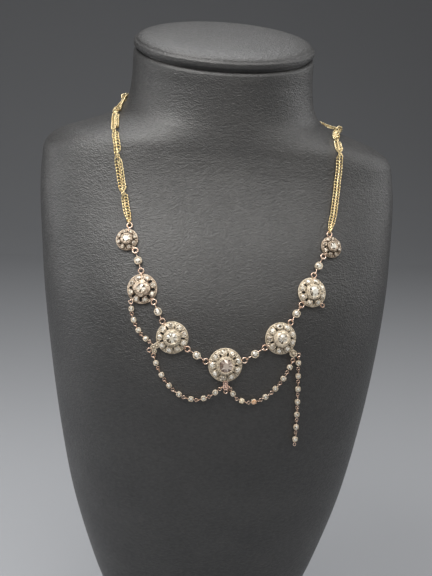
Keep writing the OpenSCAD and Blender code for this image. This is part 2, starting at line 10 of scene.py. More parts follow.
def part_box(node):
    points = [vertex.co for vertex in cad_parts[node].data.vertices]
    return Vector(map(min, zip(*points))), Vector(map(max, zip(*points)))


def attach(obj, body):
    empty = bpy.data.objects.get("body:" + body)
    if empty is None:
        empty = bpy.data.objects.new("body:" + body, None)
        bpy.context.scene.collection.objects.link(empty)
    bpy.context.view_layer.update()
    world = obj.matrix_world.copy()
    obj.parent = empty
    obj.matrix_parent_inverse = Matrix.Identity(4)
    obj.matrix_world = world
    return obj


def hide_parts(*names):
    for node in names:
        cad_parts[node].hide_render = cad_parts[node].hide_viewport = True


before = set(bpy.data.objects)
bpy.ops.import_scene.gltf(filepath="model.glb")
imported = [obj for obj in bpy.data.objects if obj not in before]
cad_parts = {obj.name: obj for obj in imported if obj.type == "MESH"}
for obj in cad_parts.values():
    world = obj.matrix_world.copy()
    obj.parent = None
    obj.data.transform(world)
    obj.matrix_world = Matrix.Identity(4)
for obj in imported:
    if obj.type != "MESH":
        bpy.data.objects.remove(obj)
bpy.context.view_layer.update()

# Sizes are in mm and turned into metres where a mesh is made. Places of lights and floor are in metres.
MM = 0.001
TURN = 2 * math.pi
# Steps, in degrees and mm, over which the direction of the skin and of the chain is taken
PROBE = 0.5
# Radius at which a turned outline starts, just off its axis
NEAR_AXIS = 0.01
# Cosine above which two facets of a solid count as one plane
SAME_PLANE = 0.9995

# Bust
# Each row: height, half width, middle y, front y, back y, roundness exponent
BUST_ROWS = np.array([
    [0, 42, -26, -52, 4, 2.2],
    [30, 50.5, -26, -61, 9, 2.2],
    [60, 62.5, -26, -70, 15, 2.2],
    [100, 75.3, -26, -80, 22, 2.2],
    [140, 83.7, -26, -86, 27, 2.2],
    [180, 90, -25, -87.5, 31, 2.2],
    [215, 94.4, -21, -81.5, 34, 2.25],
    [240, 96.4, -16, -70.5, 36, 2.3],
    [265, 98, -9, -55.5, 38, 2.4],
    [280, 97.5, -4, -48, 39, 2.5],
    [290, 95.3, -2, -45, 39.5, 2.5],
    [296, 87.4, -1, -44, 40, 2.5],
    [300, 76.3, 0, -43.5, 40.5, 2.4],
    [304, 65.3, 0, -43, 41, 2.3],
    [309, 55.4, 0, -42.5, 42, 2.2],
    [317, 51.3, 0, -42, 42, 2.1],
    [328, 49.9, 0, -42, 42, 2],
    [341, 49.6, 0, -42, 42, 2],
    [342.4, 49, 0, -41.4, 41.4, 2],
    [343, 48, 0, -40.4, 40.4, 2]])
HEIGHT, HALF_W, MIDDLE, FRONT, BACK, EXPONENT = range(6)
MIDDLE_Y = 23.05
SLOPE_FROM = 322
NECK_TOP = 343
NECK_SLOPE = math.radians(11)
SHOULDER_LEAN = math.radians(1.4)
# Heights between which the shoulders' lean sets in, and between which it fades again
LEAN_HEIGHTS = (256, 286, 306, 332)
BASE_ROUNDING = 1.2
# Columns of the skin, and the height of the section round which they are spread evenly
BUST_SIDES = 160
SPREAD_HEIGHT = 240
SPREAD_STEPS = 1440
# Rows of the skin: their steps on the body and from the shoulders up, and the heights at the neck's edge
BODY_STEP = 3.0
BODY_TOP = 284
SHOULDER_STEP = 1.0
SHOULDER_TOP = 340.6
EDGE_HEIGHTS = [341, 341.5, 341.9, 342.3, 342.6, 342.85, 343]

# Cap of the neck
GROOVE_H = 1.7
GROOVE_DEPTH = 1.8
PLUG_INSET = GROOVE_DEPTH + 0.5
CAP_EDGE_H = 3.4
CAP_CROWN_H = 5.6
CAP_SEAT = 341
CAP_SEAT_GAP = 0.15
# Roundings of its edge: height over the groove and inset, then height against the edge's top and inset
CAP_LOWER = [(0.05, 1.4), (0.1, 0.7), (0.3, 0.25), (0.7, 0.05), (1.4, 0)]
CAP_UPPER = [(-0.8, 0), (-0.35, 0.1), (-0.05, 0.4), (0.2, 0.85)]
# Where the cap's crown starts, over its edge and inside it, the power of its curve, and its rows
CROWN_START = 0.35
CROWN_INSET = 1.3
CROWN_POWER = 2.2
CROWN_ROWS = 26

# Shapes that repeat
WIRE_SIDES = 10
# Exponent of the outline of a cushion-shaped collet, where 2 is round
CUSHION = 2.5
# Shares of a cut stone's radius: crown and pavilion heights, girdle, the table's radius, and for the
# corners halfway up the crown and down the pavilion their radius and share of the height
CROWN_SHARE = 0.34
PAVILION_SHARE = 0.62
GIRDLE_SHARE = 0.06
TABLE_SHARE = 0.56
CROWN_BEND = (0.82, 0.56)
PAVILION_BEND = (0.42, 0.62)

# Clusters, left to right. square: exponent of the centre collet's outline. turn: its turn in degrees.
# lip: width of the metal over the centre stone. slot: an opening's half length, as a share of the room for
# it, and half width. open: directions of the wide openings. table: the centre stone's table as a share of
# its radius, and the table's tone of painted reflection. rings: direction, distance of the middle outside
# the rim, and then diameter and wire.
RING = (2.7, 0.76)
SMALL_RING = (2.0, 0.6)
CLUSTERS = [
    {"petals": 8, "square": 2.2, "turn": 10, "lip": 0.3, "slot": (0.5, 0.6),
     "open": (208, 241, -5, 120), "table": (0.42, 0.75), "rings": [(86, 1.9, RING), (-47, 1.9, RING)]},
    {"petals": 8, "square": 4.0, "turn": 42, "lip": 1.25, "slot": (0.78, 0.88),
     "open": (53, 0, -50, -90, 218, 180), "table": (0.2, 0.3),
     "rings": [(99, 1.5, RING), (-43, 1.5, RING), (-125, 1, SMALL_RING)]},
    {"petals": 9, "square": 2.1, "turn": 0, "lip": 0.7, "slot": (0.55, 0.75),
     "open": (107, 144, 203, 0), "table": (0.3, 0.35), "rings": [(124, 1.5, RING), (-33, 1.5, RING)]},
    {"petals": 9, "square": 2.3, "turn": 20, "lip": 0.4, "slot": (0.46, 0.6),
     "open": (120, 60, 0), "table": (0.4, 0.5), "rings": [(170, 1.5, RING), (15, 1.5, RING)]},
    {"petals": 9, "square": 2.7, "turn": 38, "lip": 1.1, "slot": (0.5, 0.7),
     "open": (126, 183, -12, 234), "table": (0.25, 0.2), "rings": [(-152, 1.5, RING), (57, 1.5, RING)]},
    {"petals": 8, "square": 2.4, "turn": 5, "lip": 0.5, "slot": (0.6, 0.78),
     "open": (138, 175, 216, -74), "table": (0.4, 0.8),
     "rings": [(-136, 1.5, RING), (78, 1.3, RING), (-54, 1, SMALL_RING)]},
    {"petals": 8, "square": 2.2, "turn": 30, "lip": 0.4, "slot": (0.56, 0.74),
     "open": (-42, -115, 170), "table": (0.42, 0.8), "rings": [(-139, 1.9, RING), (91, 1.2, RING)]}]
# Numbers of the clusters whose silver is painted darker as painted shade, and of the one with a rose stone
# and a pink lug
SHADED_CLUSTERS = (1, 2, 7)
ROSE_CLUSTER = 4
# Lugs, by the number of their cluster. lobes: distance of the middle outside the rim, direction, radius.
# rings and eyes: the lobe that each grows from, distance outside the rim, direction, and for an eye the
# string that it holds.
LUGS = {
    3: {"lobes": [(0.6, -150, 1.5), (2.4, -150, 1.5), (3.2, -139, 1.2)],
        "rings": [(1, 5, -148), (2, 4.9, -133)],
        "eyes": [(1, 2.9, -163, "upper_left_string")]},
    4: {"lobes": [(0.7, -87, 1.3), (2.6, -87, 1.5)],
        "rings": [(1, 4.9, -87)],
        "eyes": [(1, 3.1, -98, "lower_left_string"), (1, 3.1, -76, "lower_right_string")]},
    5: {"lobes": [(0.4, -49, 1.3), (2.1, -50, 1.9)],
        "rings": [(1, 4.7, -43), (1, 4.9, -60)],
        "eyes": []}}
NO_LUG = {"lobes": [], "rings": [], "eyes": []}
LUG_H = 1.2
LUG_WIRE = 0.42
LINK_LIFT = 1.3
# How far inside the rim a soldered ring starts
RING_ROOT = 1.2
RIM_WIRE = 0.9
BACK_GAP = 0.3
RIM_Z = BACK_GAP + RIM_WIRE / 2
# Outline of the rim's band: distance outside the rim, height
RIM_BAND = [(-0.12, 0.3), (0, 0.5), (0, 1.0), (-0.1, 1.18), (-0.3, 1.26), (-0.52, 1.22), (-0.66, 1.08),
            (-0.7, 0.7), (-0.5, 0.3)]
RIM_SIDES = 96
# Plate: thickness, how far it runs under the centre collet and stops inside the rim, how far its inner
# edge lies under the collet's top and its outer edge over RIM_Z, and its swelling between
SHELL_T = 0.6
PLATE_TUCK = 0.5
PLATE_LAP = 0.45
DOME_DROP = 1.4
DOME_EDGE = 0.3
DOME_SWELL = 0.25
SECTOR_STEPS = 6
# Openings: distance from the centre collet, and half width of those that have nearly filled up
SLOT_START = 0.3
CLOSED_SLOT = 0.3
# Bars between the petals: distance from the opening, largest radius, height of their middle over the plate
BAR_START = 0.05
BAR_R = 0.42
BAR_LIFT = 0.1
# Centre collet: share of the diameter, wall, taper, and its top as a fixed part and a share of the diameter
CORE_SHARE = 0.5
CORE_WALL = 0.45
CORE_TAPER = 0.4
CORE_TOP = 1.6
CORE_TOP_SHARE = 0.15
CORE_SIDES = 64
CORE_LIP = 0.02
CORE_CLAWS = 8
# Metal rubbed over a centre stone: half its thickness, how far outside the stone it starts, and its
# rolled inner edge as distance outwards and height over the crown
BEZEL_HALF_T = 0.1
BEZEL_LAP = 0.25
BEZEL_EDGE = [(0.3, 0.28), (0.15, 0.34), (0, 0.26)]
# Centre stone: gap round the solid, depth of its seat, and how much wider it is drawn than the solid
STONE_GAP = 0.12
CENTRE_SEAT = 0.2
STONE_SWELL = 0.06
CENTRE_CUTS = 10
SMALL_CUTS = 8
PETAL_TILT = math.radians(18)
PETAL_WALL = 0.3
PETAL_SHARE = 0.43
PETAL_INSET = 0.5
PETAL_FLOOR = 0.5
PETAL_FOOT = 0.3
PETAL_LIP = 0.2
PETAL_BACK = -0.1
PETAL_FLOOR_GAP = 0.1
PETAL_CLAWS = 4
# How far a petal's collet and its claws end below the lip of the solid
PETAL_DROP = 0.05
PETAL_CLAW_DROP = 0.06
# Share of the solids' radius at which the petal collets are drawn, and the gap round their stones
PETAL_SLIM = 0.91
PETAL_STONE_GAP = 0.03
# Claws of the centre, petal and link collets: inset from the collet's outside, reach over the stone, and
# radius of their wire
CORE_CLAW = (0.14, 0.85, 0.28)
PETAL_CLAW = (0.06, 0.5, 0.24)
LINK_CLAW = (0.02, 0.5, 0.18)
# On the centre collet, a claw's foot under and head over the collet's top. On a link, its foot over the
# collet's back and its head below the top.
CORE_CLAW_FOOT = 1.3
CORE_CLAW_HEAD = 0.25
LINK_CLAW_FOOT = 0.2
LINK_CLAW_DROP = 0.04
# Painted reflections of the stones: tones of the facets, drawn at random between two values: dark facets,
# bright ones, and the tables of petal and link stones
PAINTED_DARK_FACETS = (-0.2, 0.2)
PAINTED_BRIGHT_FACETS = (0.5, 1.1)
PETAL_TABLE_FLASHES = (-0.1, 0.9)
LINK_TABLE_FLASHES = (0.7, 1.1)
# Largest turn and tilt, in radians, of a small stone in its collet
STONE_SPIN = 0.8
STONE_TILT = 0.09

# Connectors and strings: a collet's radius, wall, reach above and below its frame, height of the
# stone's girdle, diameter and wire of its eyes, how many claws, the share of the solid's radius at
# which it is drawn, and whether the eye ahead lies flat
CONNECTOR = {"r": 2.0, "wall": 0.4, "top": 1.0, "back": 0.9, "girdle": 0.85, "eye": (1.8, 0.5),
             "claws": 8, "slim": 0.97, "flat_eye": False}
STRUNG = {"r": 1.55, "wall": 0.35, "top": 0.7, "back": 0.8, "girdle": 0.6, "eye": (1.6, 0.44),
          "claws": 4, "slim": 0.88, "flat_eye": True}
LINK_STONE_GAP = 0.05
# How far the bar of an eye runs into its collet
EYE_ROOT = 0.25
# Share of a collet's half length beyond which only its eyes are found
EYE_SHARE = 0.85
CONNECTORS = [f"connector_{i + 1}" for i in range(6)]
STRINGS = ["upper_left_string", "lower_left_string", "lower_right_string", "loose_string"]
# Across the lower right string: where its peach stone and its cream stone lie. They stand higher, and
# reach nearer to the collet's outside.
ODD_STONES_X = (13.3, 7.0)
ODD_STONE_LIFT = 0.25
ODD_STONE_INSET = 0.1

# Double chain: route on each side as angle round the bust from its front, height
LEFT_ROUTE = [(29.1, 261.5), (29.6, 268), (30.2, 275), (31.1, 282.5), (33, 290), (36.6, 294.8),
              (43.7, 298.5), (57.4, 302.7), (75.9, 306.7), (88, 308.8), (94, 311), (98.5, 313),
              (104, 314), (112, 314.6), (125, 316.8), (150, 322.3), (172, 325.5)]
RIGHT_ROUTE = [(30.7, 262.5), (31.1, 267.5), (31.6, 275.6), (32.4, 283.7), (34.4, 291.3), (38.5, 296),
               (43.1, 298.2), (49.4, 300.3), (55.4, 302), (62, 303.2), (70, 303.9), (80, 304), (92, 303.5),
               (104, 303.4), (111, 304.6), (117, 308), (124, 312.5), (134, 317), (150, 321.5), (172, 325.5)]
# A strand's thickness, and its gap to the skin
STRAND_T = 1.5
STRAND_GAP = 0.4
LINK_PITCH = 1.65
LINK_WIRE = 0.62
LINK_W = 2.4
LINK_SLANT = math.radians(32)
STRAND_APART = 1.95
# How far one strand of each side leans onto its edge
STRAND_LEAN = math.radians(58)
# Angles round the bust at which the two strands of a side cross, and the length of a crossing
LEFT_CROSSINGS = [29.8, 32.3, 46, 76, 103, 135, 158]
RIGHT_CROSSINGS = [38.5, 54, 85, 135, 158]
CROSSING_RUN = 8.0
# At the end ring the strands start this close together, as a share of STRAND_APART, and lifted this much.
# They reach their full distance between these two lengths along the chain.
START_CLOSE = 0.4
START_LIFT = 0.6
START_RUN = (1, 6)
# How far the links stay off the end ring and the clasp, and how far ahead a link looks for its direction
LINK_START = 0.4
LOOK_AHEAD = 0.4

# Clasp: half length of its barrel, and how far its rings run into it
CLASP_HALF = 4.5
CLASP_RING_LAP = 0.12
CLASP_SHRINK = 0.02
# Its outline from the middle to one end: share of the radius, and place in from the middle or the end
CLASP_GROOVE = [(0.93, 0.3), (1, 0.5)]
CLASP_END = [(1, 0.35), (0.8, 0)]

random.seed(7)


def unit(v):
    return v / np.linalg.norm(v)


def frame_at(origin, along, out):
    """4 by 4 matrix of a frame with the given x axis, and z as near to out as that allows."""
    x = unit(np.asarray(along, float))
    z = unit(np.asarray(out, float) - np.dot(out, x) * x)
    m = np.eye(4)
    m[:3, 0], m[:3, 1], m[:3, 2], m[:3, 3] = x, np.cross(z, x), z, origin
    return m


def moved(x=0.0, y=0.0, z=0.0):
    m = np.eye(4)
    m[:3, 3] = x, y, z
    return m


def turned(axis, angle):
    """4 by 4 rotation by an angle in radians about axis x, y or z."""
    c, s = math.cos(angle), math.sin(angle)
    i, j = {"x": (1, 2), "y": (2, 0), "z": (0, 1)}[axis]
    m = np.eye(4)
    m[i, i] = m[j, j] = c
    m[i, j], m[j, i] = -s, s
    return m


def polar(distance, degrees, z=0.0):
    a = math.radians(degrees)
    return np.array([distance * math.cos(a), distance * math.sin(a), z])


class Build:
    """Gathers shapes, in millimetres, into the mesh of one piece."""

    def __init__(self):
        self.points, self.faces, self.kinds, self.tones, self.count = [], [], [], [], 0

    def add(self, shape, place=None, kind=0, tones=None):
        points, faces = shape
        points = np.asarray(points, float)
        if place is not None:
            points = points @ place[:3, :3].T + place[:3, 3]
        self.points.append(points)
        self.faces += [tuple(i + self.count for i in f) for f in faces]
        self.kinds += [kind] * len(faces)
        self.tones += tones or [0.5] * len(faces)
        self.count += len(points)

    def piece(self, name, materials, slot, replaces=(), smooth=True, crease=38):
        mesh = bpy.data.meshes.new(name)
        mesh.from_pydata((np.concatenate(self.points) * MM).tolist(), [], self.faces)
        for m in materials:
            mesh.materials.append(m)
        mesh.polygons.foreach_set("material_index", self.kinds)
        mesh.polygons.foreach_set("use_smooth", [smooth] * len(mesh.polygons))
        if smooth:
            mesh.set_sharp_from_angle(angle=math.radians(crease))
        else:
            # Each stone facet keeps its tone of painted reflection.
            mesh.attributes.new("facet", "FLOAT", "FACE").data.foreach_set("value", self.tones)
        mesh.validate()
        piece = bpy.data.objects.new(name, mesh)
        bpy.context.scene.collection.objects.link(piece)
        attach(piece, "root")
        if replaces:
            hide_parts(*replaces)
        return piece


def grid_faces(rows, columns, close_rows=False):
    """Quads between rounds of points, each round counted the same way."""
    faces = []
    for i in range(rows if close_rows else rows - 1):
        for j in range(columns):
            a, b = i * columns, (i + 1) % rows * columns
            k = (j + 1) % columns
            faces.append((a + j, a + k, b + k, b + j))
    return faces


def closed_faces(rows, columns):
    """The same, with the first and the last round filled."""
    last = (rows - 1) * columns
    return grid_faces(rows, columns) + [tuple(range(columns))[::-1], tuple(range(last, last + columns))]


def plan_reach(c, s, square):
    """Radius of a plan, round at square 2 and squarer above, in the direction with cosine c and sine s."""
    return (abs(c) ** square + abs(s) ** square) ** (-1 / square)


def lathe(profile, sides, closed=True, square=2.0):
    """Turns a profile of radius and height round z. square above 2 makes the plan squarer."""
    turn = np.arange(sides) * TURN / sides
    c, s = np.cos(turn), np.sin(turn)
    reach = plan_reach(c, s, square)
    points = [[r * k * a, r * k * b, z] for r, z in profile for a, b, k in zip(c, s, reach)]
    return points, grid_faces(len(profile), sides, close_rows=closed)


def wire_ring(d, wire, sides=28, standing=False):
    """A ring of wire, lying flat or standing on edge. d is the diameter of the wire's middle line."""
    a = np.arange(WIRE_SIDES) * TURN / WIRE_SIDES
    profile = [(d / 2 + wire / 2 * math.cos(t), wire / 2 * math.sin(t)) for t in a]
    points, faces = lathe(profile, sides)
    if standing:
        points = [[x, -z, y] for x, y, z in points]
    return points, faces


def sweep(path, radii, sides=WIRE_SIDES, caps=True):
    """A round wire along a path, with a radius at each point."""
    path = [np.asarray(p, float) for p in path]
    points = []
    side = None
    for i, p in enumerate(path):
        along = unit(path[min(i + 1, len(path) - 1)] - path[max(i - 1, 0)])
        if side is None:
            side = unit(np.cross(along, [0, 0, 1] if abs(along[2]) < 0.9 else [1, 0, 0]))
        side = unit(side - np.dot(side, along) * along)
        up = np.cross(along, side)
        for k in range(sides):
            t = k * TURN / sides
            points.append(p + radii[i] * (math.cos(t) * side + math.sin(t) * up))
    faces = closed_faces(len(path), sides) if caps else grid_faces(len(path), sides)
    return points, faces


def bead(r, sides):
    """A small round grain of metal."""
    rows = sides // 2
    points = [[0, 0, r]]
    for i in range(1, rows):
        t = math.pi * i / rows
        points += [[r * math.sin(t) * math.cos(a), r * math.sin(t) * math.sin(a), r * math.cos(t)]
                   for a in np.arange(sides) * TURN / sides]
    points.append([0, 0, -r])
    last = len(points) - 1
    faces = [(0, 1 + k, 1 + (k + 1) % sides) for k in range(sides)]
    faces += [tuple(i + 1 for i in f)[::-1] for f in grid_faces(rows - 1, sides)]
    low = last - sides
    faces += [(last, low + (k + 1) % sides, low + k) for k in range(sides)]
    return points, faces


def cut_stone(r, n, table=TABLE_SHARE, square=2.0):
    """A brilliant: table, stars, kites, upper girdle facets, girdle and pavilion."""
    def ring(count, share, z, offset=0.0):
        out = []
        for k in range(count):
            t = (k + offset) * TURN / count
            c, s = math.cos(t), math.sin(t)
            reach = r * share * plan_reach(c, s, square)
            out.append([reach * c, reach * s, r * z])
        return out
    crown_r, crown_h = CROWN_BEND
    pavilion_r, pavilion_h = PAVILION_BEND
    points = ring(n, table, CROWN_SHARE) + ring(n, crown_r, CROWN_SHARE * crown_h, 0.5)
    points += ring(2 * n, 1.0, GIRDLE_SHARE / 2) + ring(2 * n, 1.0, -GIRDLE_SHARE / 2)
    points += ring(n, pavilion_r, -PAVILION_SHARE * pavilion_h, 0.5) + [[0, 0, -r * PAVILION_SHARE]]
    # Number of the first corner of each ring below the table's, and of the tip
    bend, high, low, under, tip = n, 2 * n, 4 * n, 6 * n, 7 * n
    faces = [tuple(range(n))]
    for k in range(n):
        ahead, behind = (k + 1) % n, (k - 1) % n
        here, half, beyond = 2 * k, 2 * k + 1, (2 * k + 2) % (2 * n)
        faces += [
            (ahead, k, bend + k),
            (k, bend + behind, high + here, bend + k),
            (bend + k, high + here, high + half),
            (bend + k, high + half, high + beyond),
            (high + here, low + here, low + half, high + half),
            (high + half, low + half, low + beyond, high + beyond),
            (low + here, under + behind, under + k),
            (low + here, under + k, low + half),
            (low + half, under + k, low + beyond),
            (under + k, under + behind, tip)]
    return points, faces


# Materials

def fill(tree, n, **values):
    """Sets a node's inputs and settings. An input whose value is another node's output is linked."""
    for key, value in values.items():
        socket = key.replace("_", " ")
        if isinstance(value, bpy.types.NodeSocket):
            tree.links.new(value, n.inputs[socket])
        elif socket in n.inputs:
            n.inputs[socket].default_value = value
        else:
            setattr(n, key, value)
    return n


def node(tree, kind, **values):
    return fill(tree, tree.nodes.new(kind), **values)


def material(name, **inputs):
    m = bpy.data.materials.new(name)
    m.use_nodes = True
    shader = fill(m.node_tree, m.node_tree.nodes["Principled BSDF"], **inputs)
    return m, m.node_tree, shader


def ramp(tree, fac, stops):
    """Colours that blend into each other between places along a value."""
    r = node(tree, "ShaderNodeValToRGB", Fac=fac)
    while len(r.color_ramp.elements) < len(stops):
        r.color_ramp.elements.new(0.5)
    for e, (at, colour) in zip(r.color_ramp.elements, stops):
        e.position = at
        e.color = (*colour, 1)
    return r.outputs["Color"]


def coordinates(tree):
    return tree.nodes.new("ShaderNodeTexCoord").outputs["Object"]


def noise(tree, at, scale, detail, **inputs):
    """Cloudy noise as a value from 0 to 1."""
    return node(tree, "ShaderNodeTexNoise", Vector=at, Scale=scale, Detail=detail, **inputs).outputs["Fac"]


def scaled(tree, value, factor, plus=None):
    """A value times a factor, plus another value if there is one."""
    n = node(tree, "ShaderNodeMath", operation="MULTIPLY" if plus is None else "MULTIPLY_ADD")
    tree.links.new(value, n.inputs[0])
    n.inputs[1].default_value = factor
    if plus is not None:
        tree.links.new(plus, n.inputs[2])
    return n.outputs[0]


def spread(tree, value, low, high, at_low, at_high):
    """A value that goes from at_low to at_high as another goes from low to high."""
    return node(tree, "ShaderNodeMapRange", Value=value, From_Min=low, From_Max=high, To_Min=at_low,
                To_Max=at_high).outputs["Result"]


def bumped(tree, shader, height, strength, distance):
    b = node(tree, "ShaderNodeBump", Height=height, Strength=strength, Distance=distance)
    fill(tree, shader, Normal=b.outputs["Normal"])


def leather_material():
    """Dark pebbled leather: fine grain stretched sideways, faint broad patches, a dull sheen."""
    m, tree, shader = material("leather_cover", Specular_IOR_Level=0.85)
    at = coordinates(tree)
    along = node(tree, "ShaderNodeMapping", Vector=at, Scale=(0.7, 0.7, 1.25)).outputs["Vector"]
    cells = node(tree, "ShaderNodeTexVoronoi", Vector=along, Scale=1600.0, feature="SMOOTH_F1",
                 Smoothness=0.5)
    grain = noise(tree, along, 700.0, 4.0, Roughness=0.62)
    tone = scaled(tree, grain, 0.7, scaled(tree, noise(tree, at, 38.0, 3.0), 0.3))
    colour = ramp(tree, tone, [(0.34, (0.022, 0.022, 0.023)), (0.66, (0.051, 0.0505, 0.0495))])
    fill(tree, shader, Base_Color=colour, Roughness=spread(tree, tone, 0.3, 0.7, 0.51, 0.37))
    bumped(tree, shader, scaled(tree, cells.outputs["Distance"], 0.5, grain), 0.9, 0.0004)
    return m


def metal_material(name, colour, dark, roughness, recess=0.35, metallic=1.0):
    """A worn metal: cloudy tone, recesses darkened as patina and as painted shade, fine dents."""
    m, tree, shader = material(name, Metallic=metallic)
    at = coordinates(tree)
    cloud = noise(tree, at, 900.0, 4.0, Roughness=0.65)
    shade = ramp(tree, cloud, [(0.36, dark), (0.6, colour)])
    # Ambient occlusion darkens the colour in recesses: partly patina, partly painted shade.
    hidden = node(tree, "ShaderNodeAmbientOcclusion", samples=6, only_local=True, Distance=0.0012)
    deep = (recess * 0.2, recess * 0.16, recess * 0.1)
    patina_and_painted_shade = ramp(tree, hidden.outputs["AO"], [(0.42, deep), (0.8, (1, 1, 1))])
    mixed = node(tree, "ShaderNodeMix", data_type="RGBA", blend_type="MULTIPLY", Factor=1.0, A=shade, B=patina_and_painted_shade)
    rough = spread(tree, cloud, 0, 1, roughness + 0.14, roughness - 0.06)
    fill(tree, shader, Base_Color=mixed.outputs["Result"], Roughness=rough)
    bumped(tree, shader, noise(tree, at, 2600.0, 2.0), 0.25, 0.00006)
    return m


def stone_material(name, dark, middle, bright):
    """A cut stone whose facets are painted lighter and darker as painted reflections, with faint clouds
    inside.
    """
    m, tree, shader = material(name, Roughness=0.1, IOR=2.0, Metallic=0.2)
    cloud = noise(tree, coordinates(tree), 700.0, 2.0)
    facet = node(tree, "ShaderNodeAttribute", attribute_name="facet")
    # The facets' painted reflection tones, with faint clouds, pick the colour.
    tone = scaled(tree, cloud, 0.4, facet.outputs["Fac"])
    fill(tree, shader, Base_Color=ramp(tree, tone, [(0.12, dark), (0.5, middle), (0.9, bright)]))
    return m


LEATHER = leather_material()
SILVER = metal_material("silver", (1.0, 0.885, 0.71), (0.66, 0.53, 0.37), 0.32, 0.2, metallic=0.25)
# A darker copy of the silver: painted shade on the clusters that the lights leave brighter.
SILVER_SHADED = metal_material("silver_shaded_copy", (0.84, 0.70, 0.56), (0.44, 0.33, 0.23), 0.34, 0.2, metallic=0.6)
# Dark silver of the petal floors: painted shade under the petal stones.
SILVER_PAINTED_SHADE = metal_material("petal_floor_painted_shade", (0.26, 0.21, 0.15), (0.09, 0.07, 0.05), 0.4)
ROSE_GOLD = metal_material("rose_gold", (0.98, 0.80, 0.66), (0.58, 0.36, 0.25), 0.22, 0.25)
PINK_GOLD = metal_material("rose_gold_lug", (1.0, 0.74, 0.62), (0.86, 0.52, 0.42), 0.3, 0.3, metallic=0.3)
PALE_GOLD = metal_material("pale_gold", (1.0, 0.88, 0.58), (0.80, 0.58, 0.26), 0.24, 0.2)
# Stone colours, dark to bright: the hue is the stone's own, its darker and lighter facets are painted
# reflections.
DIAMOND = stone_material("stones", (0.11, 0.08, 0.05), (0.92, 0.82, 0.66), (1.0, 0.96, 0.86))
ROSE_DIAMOND = stone_material("rose_tinted_stone", (0.18, 0.12, 0.09), (0.56, 0.45, 0.38), (0.92, 0.80, 0.70))
PEACH = stone_material("peach_stone", (0.62, 0.26, 0.10), (0.96, 0.50, 0.26), (1.0, 0.68, 0.44))
CREAM = stone_material("cream_stone", (0.58, 0.38, 0.18), (1.0, 0.78, 0.50), (1.0, 0.88, 0.66))


# Bust and cap

def smooth_step(t):
    t = min(max(t, 0.0), 1.0)
    return t * t * (3 - 2 * t)


def blend(a, b, ma, mb, t):
    """Smooth curve from a with slope ma to b with slope mb, at share t."""
    return ((2 * t**3 - 3 * t**2 + 1) * a + (t**3 - 2 * t**2 + t) * ma
            + (3 * t**2 - 2 * t**3) * b + (t**3 - t**2) * mb)


def section(z):
    """The bust's section at a height, between the table's rows."""
    rows = BUST_ROWS
    k = int(min(max(np.searchsorted(rows[:, 0], z, side="right") - 1, 0), len(rows) - 2))

    def rise(i):
        a, b = rows[max(i - 1, 0)], rows[min(i + 1, len(rows) - 1)]
        return (b - a) / (b[0] - a[0])
    h = rows[k + 1, 0] - rows[k, 0]
    s = blend(rows[k], rows[k + 1], rise(k) * h, rise(k + 1) * h, (z - rows[k, 0]) / h)
    s[HEIGHT] = z
    s[[MIDDLE, FRONT, BACK]] += MIDDLE_Y
    return s


def signed_power(v, e):
    return math.copysign(abs(v) ** e, v)


def skin(turn, z, inset=0.0):
    """Point of the bust's skin at an angle in degrees from the front, towards +X."""
    s = section(z)
    e = 2 / s[EXPONENT]
    ahead = signed_power(math.cos(math.radians(turn)), e)
    depth = (s[MIDDLE] - s[FRONT] if ahead > 0 else s[BACK] - s[MIDDLE]) - inset
    y = s[MIDDLE] - depth * ahead
    x = (s[HALF_W] - inset) * signed_power(math.sin(math.radians(turn)), e)
    tilt = math.tan(NECK_SLOPE) * smooth_step((z - SLOPE_FROM) / (NECK_TOP - SLOPE_FROM))
    start, full, ease, gone = LEAN_HEIGHTS
    lean = math.tan(SHOULDER_LEAN) * smooth_step((z - start) / (full - start))
    lean *= 1 - smooth_step((z - ease) / (gone - ease))
    return np.array([x, y, z + tilt * (y - MIDDLE_Y) - lean * x])


def skin_normal(turn, z):
    return unit(np.cross(skin(turn + PROBE, z) - skin(turn - PROBE, z),
                         skin(turn, z + PROBE) - skin(turn, z - PROBE)))


def distances(points):
    """Of each point of a line, its distance from the first, measured along the line."""
    return np.concatenate([[0], np.cumsum(np.linalg.norm(np.diff(points, axis=0), axis=1))])


def section_angles(count):
    """Angles whose points lie evenly round the skin at SPREAD_HEIGHT."""
    fine = np.linspace(0, 360, SPREAD_STEPS + 1)
    walk = np.array([skin(t, SPREAD_HEIGHT) for t in fine])
    run = distances(walk)
    return np.interp(np.arange(count) * run[-1] / count, run, fine)


def bust_piece():
    angles = section_angles(BUST_SIDES)
    heights = [0.0, BASE_ROUNDING * 0.3, BASE_ROUNDING]
    while heights[-1] < BODY_TOP:
        heights.append(heights[-1] + BODY_STEP)
    while heights[-1] < SHOULDER_TOP:
        heights.append(heights[-1] + SHOULDER_STEP)
    heights += EDGE_HEIGHTS
    points = []
    for z in heights:
        inset = BASE_ROUNDING * (1 - min(z / BASE_ROUNDING, 1)) ** 2
        points += [skin(t, z, inset) for t in angles]
    build = Build()
    build.add((points, closed_faces(len(heights), BUST_SIDES)))
    return build.piece("bust_cover", [LEATHER], "leather_cover", ["bust"], crease=50)


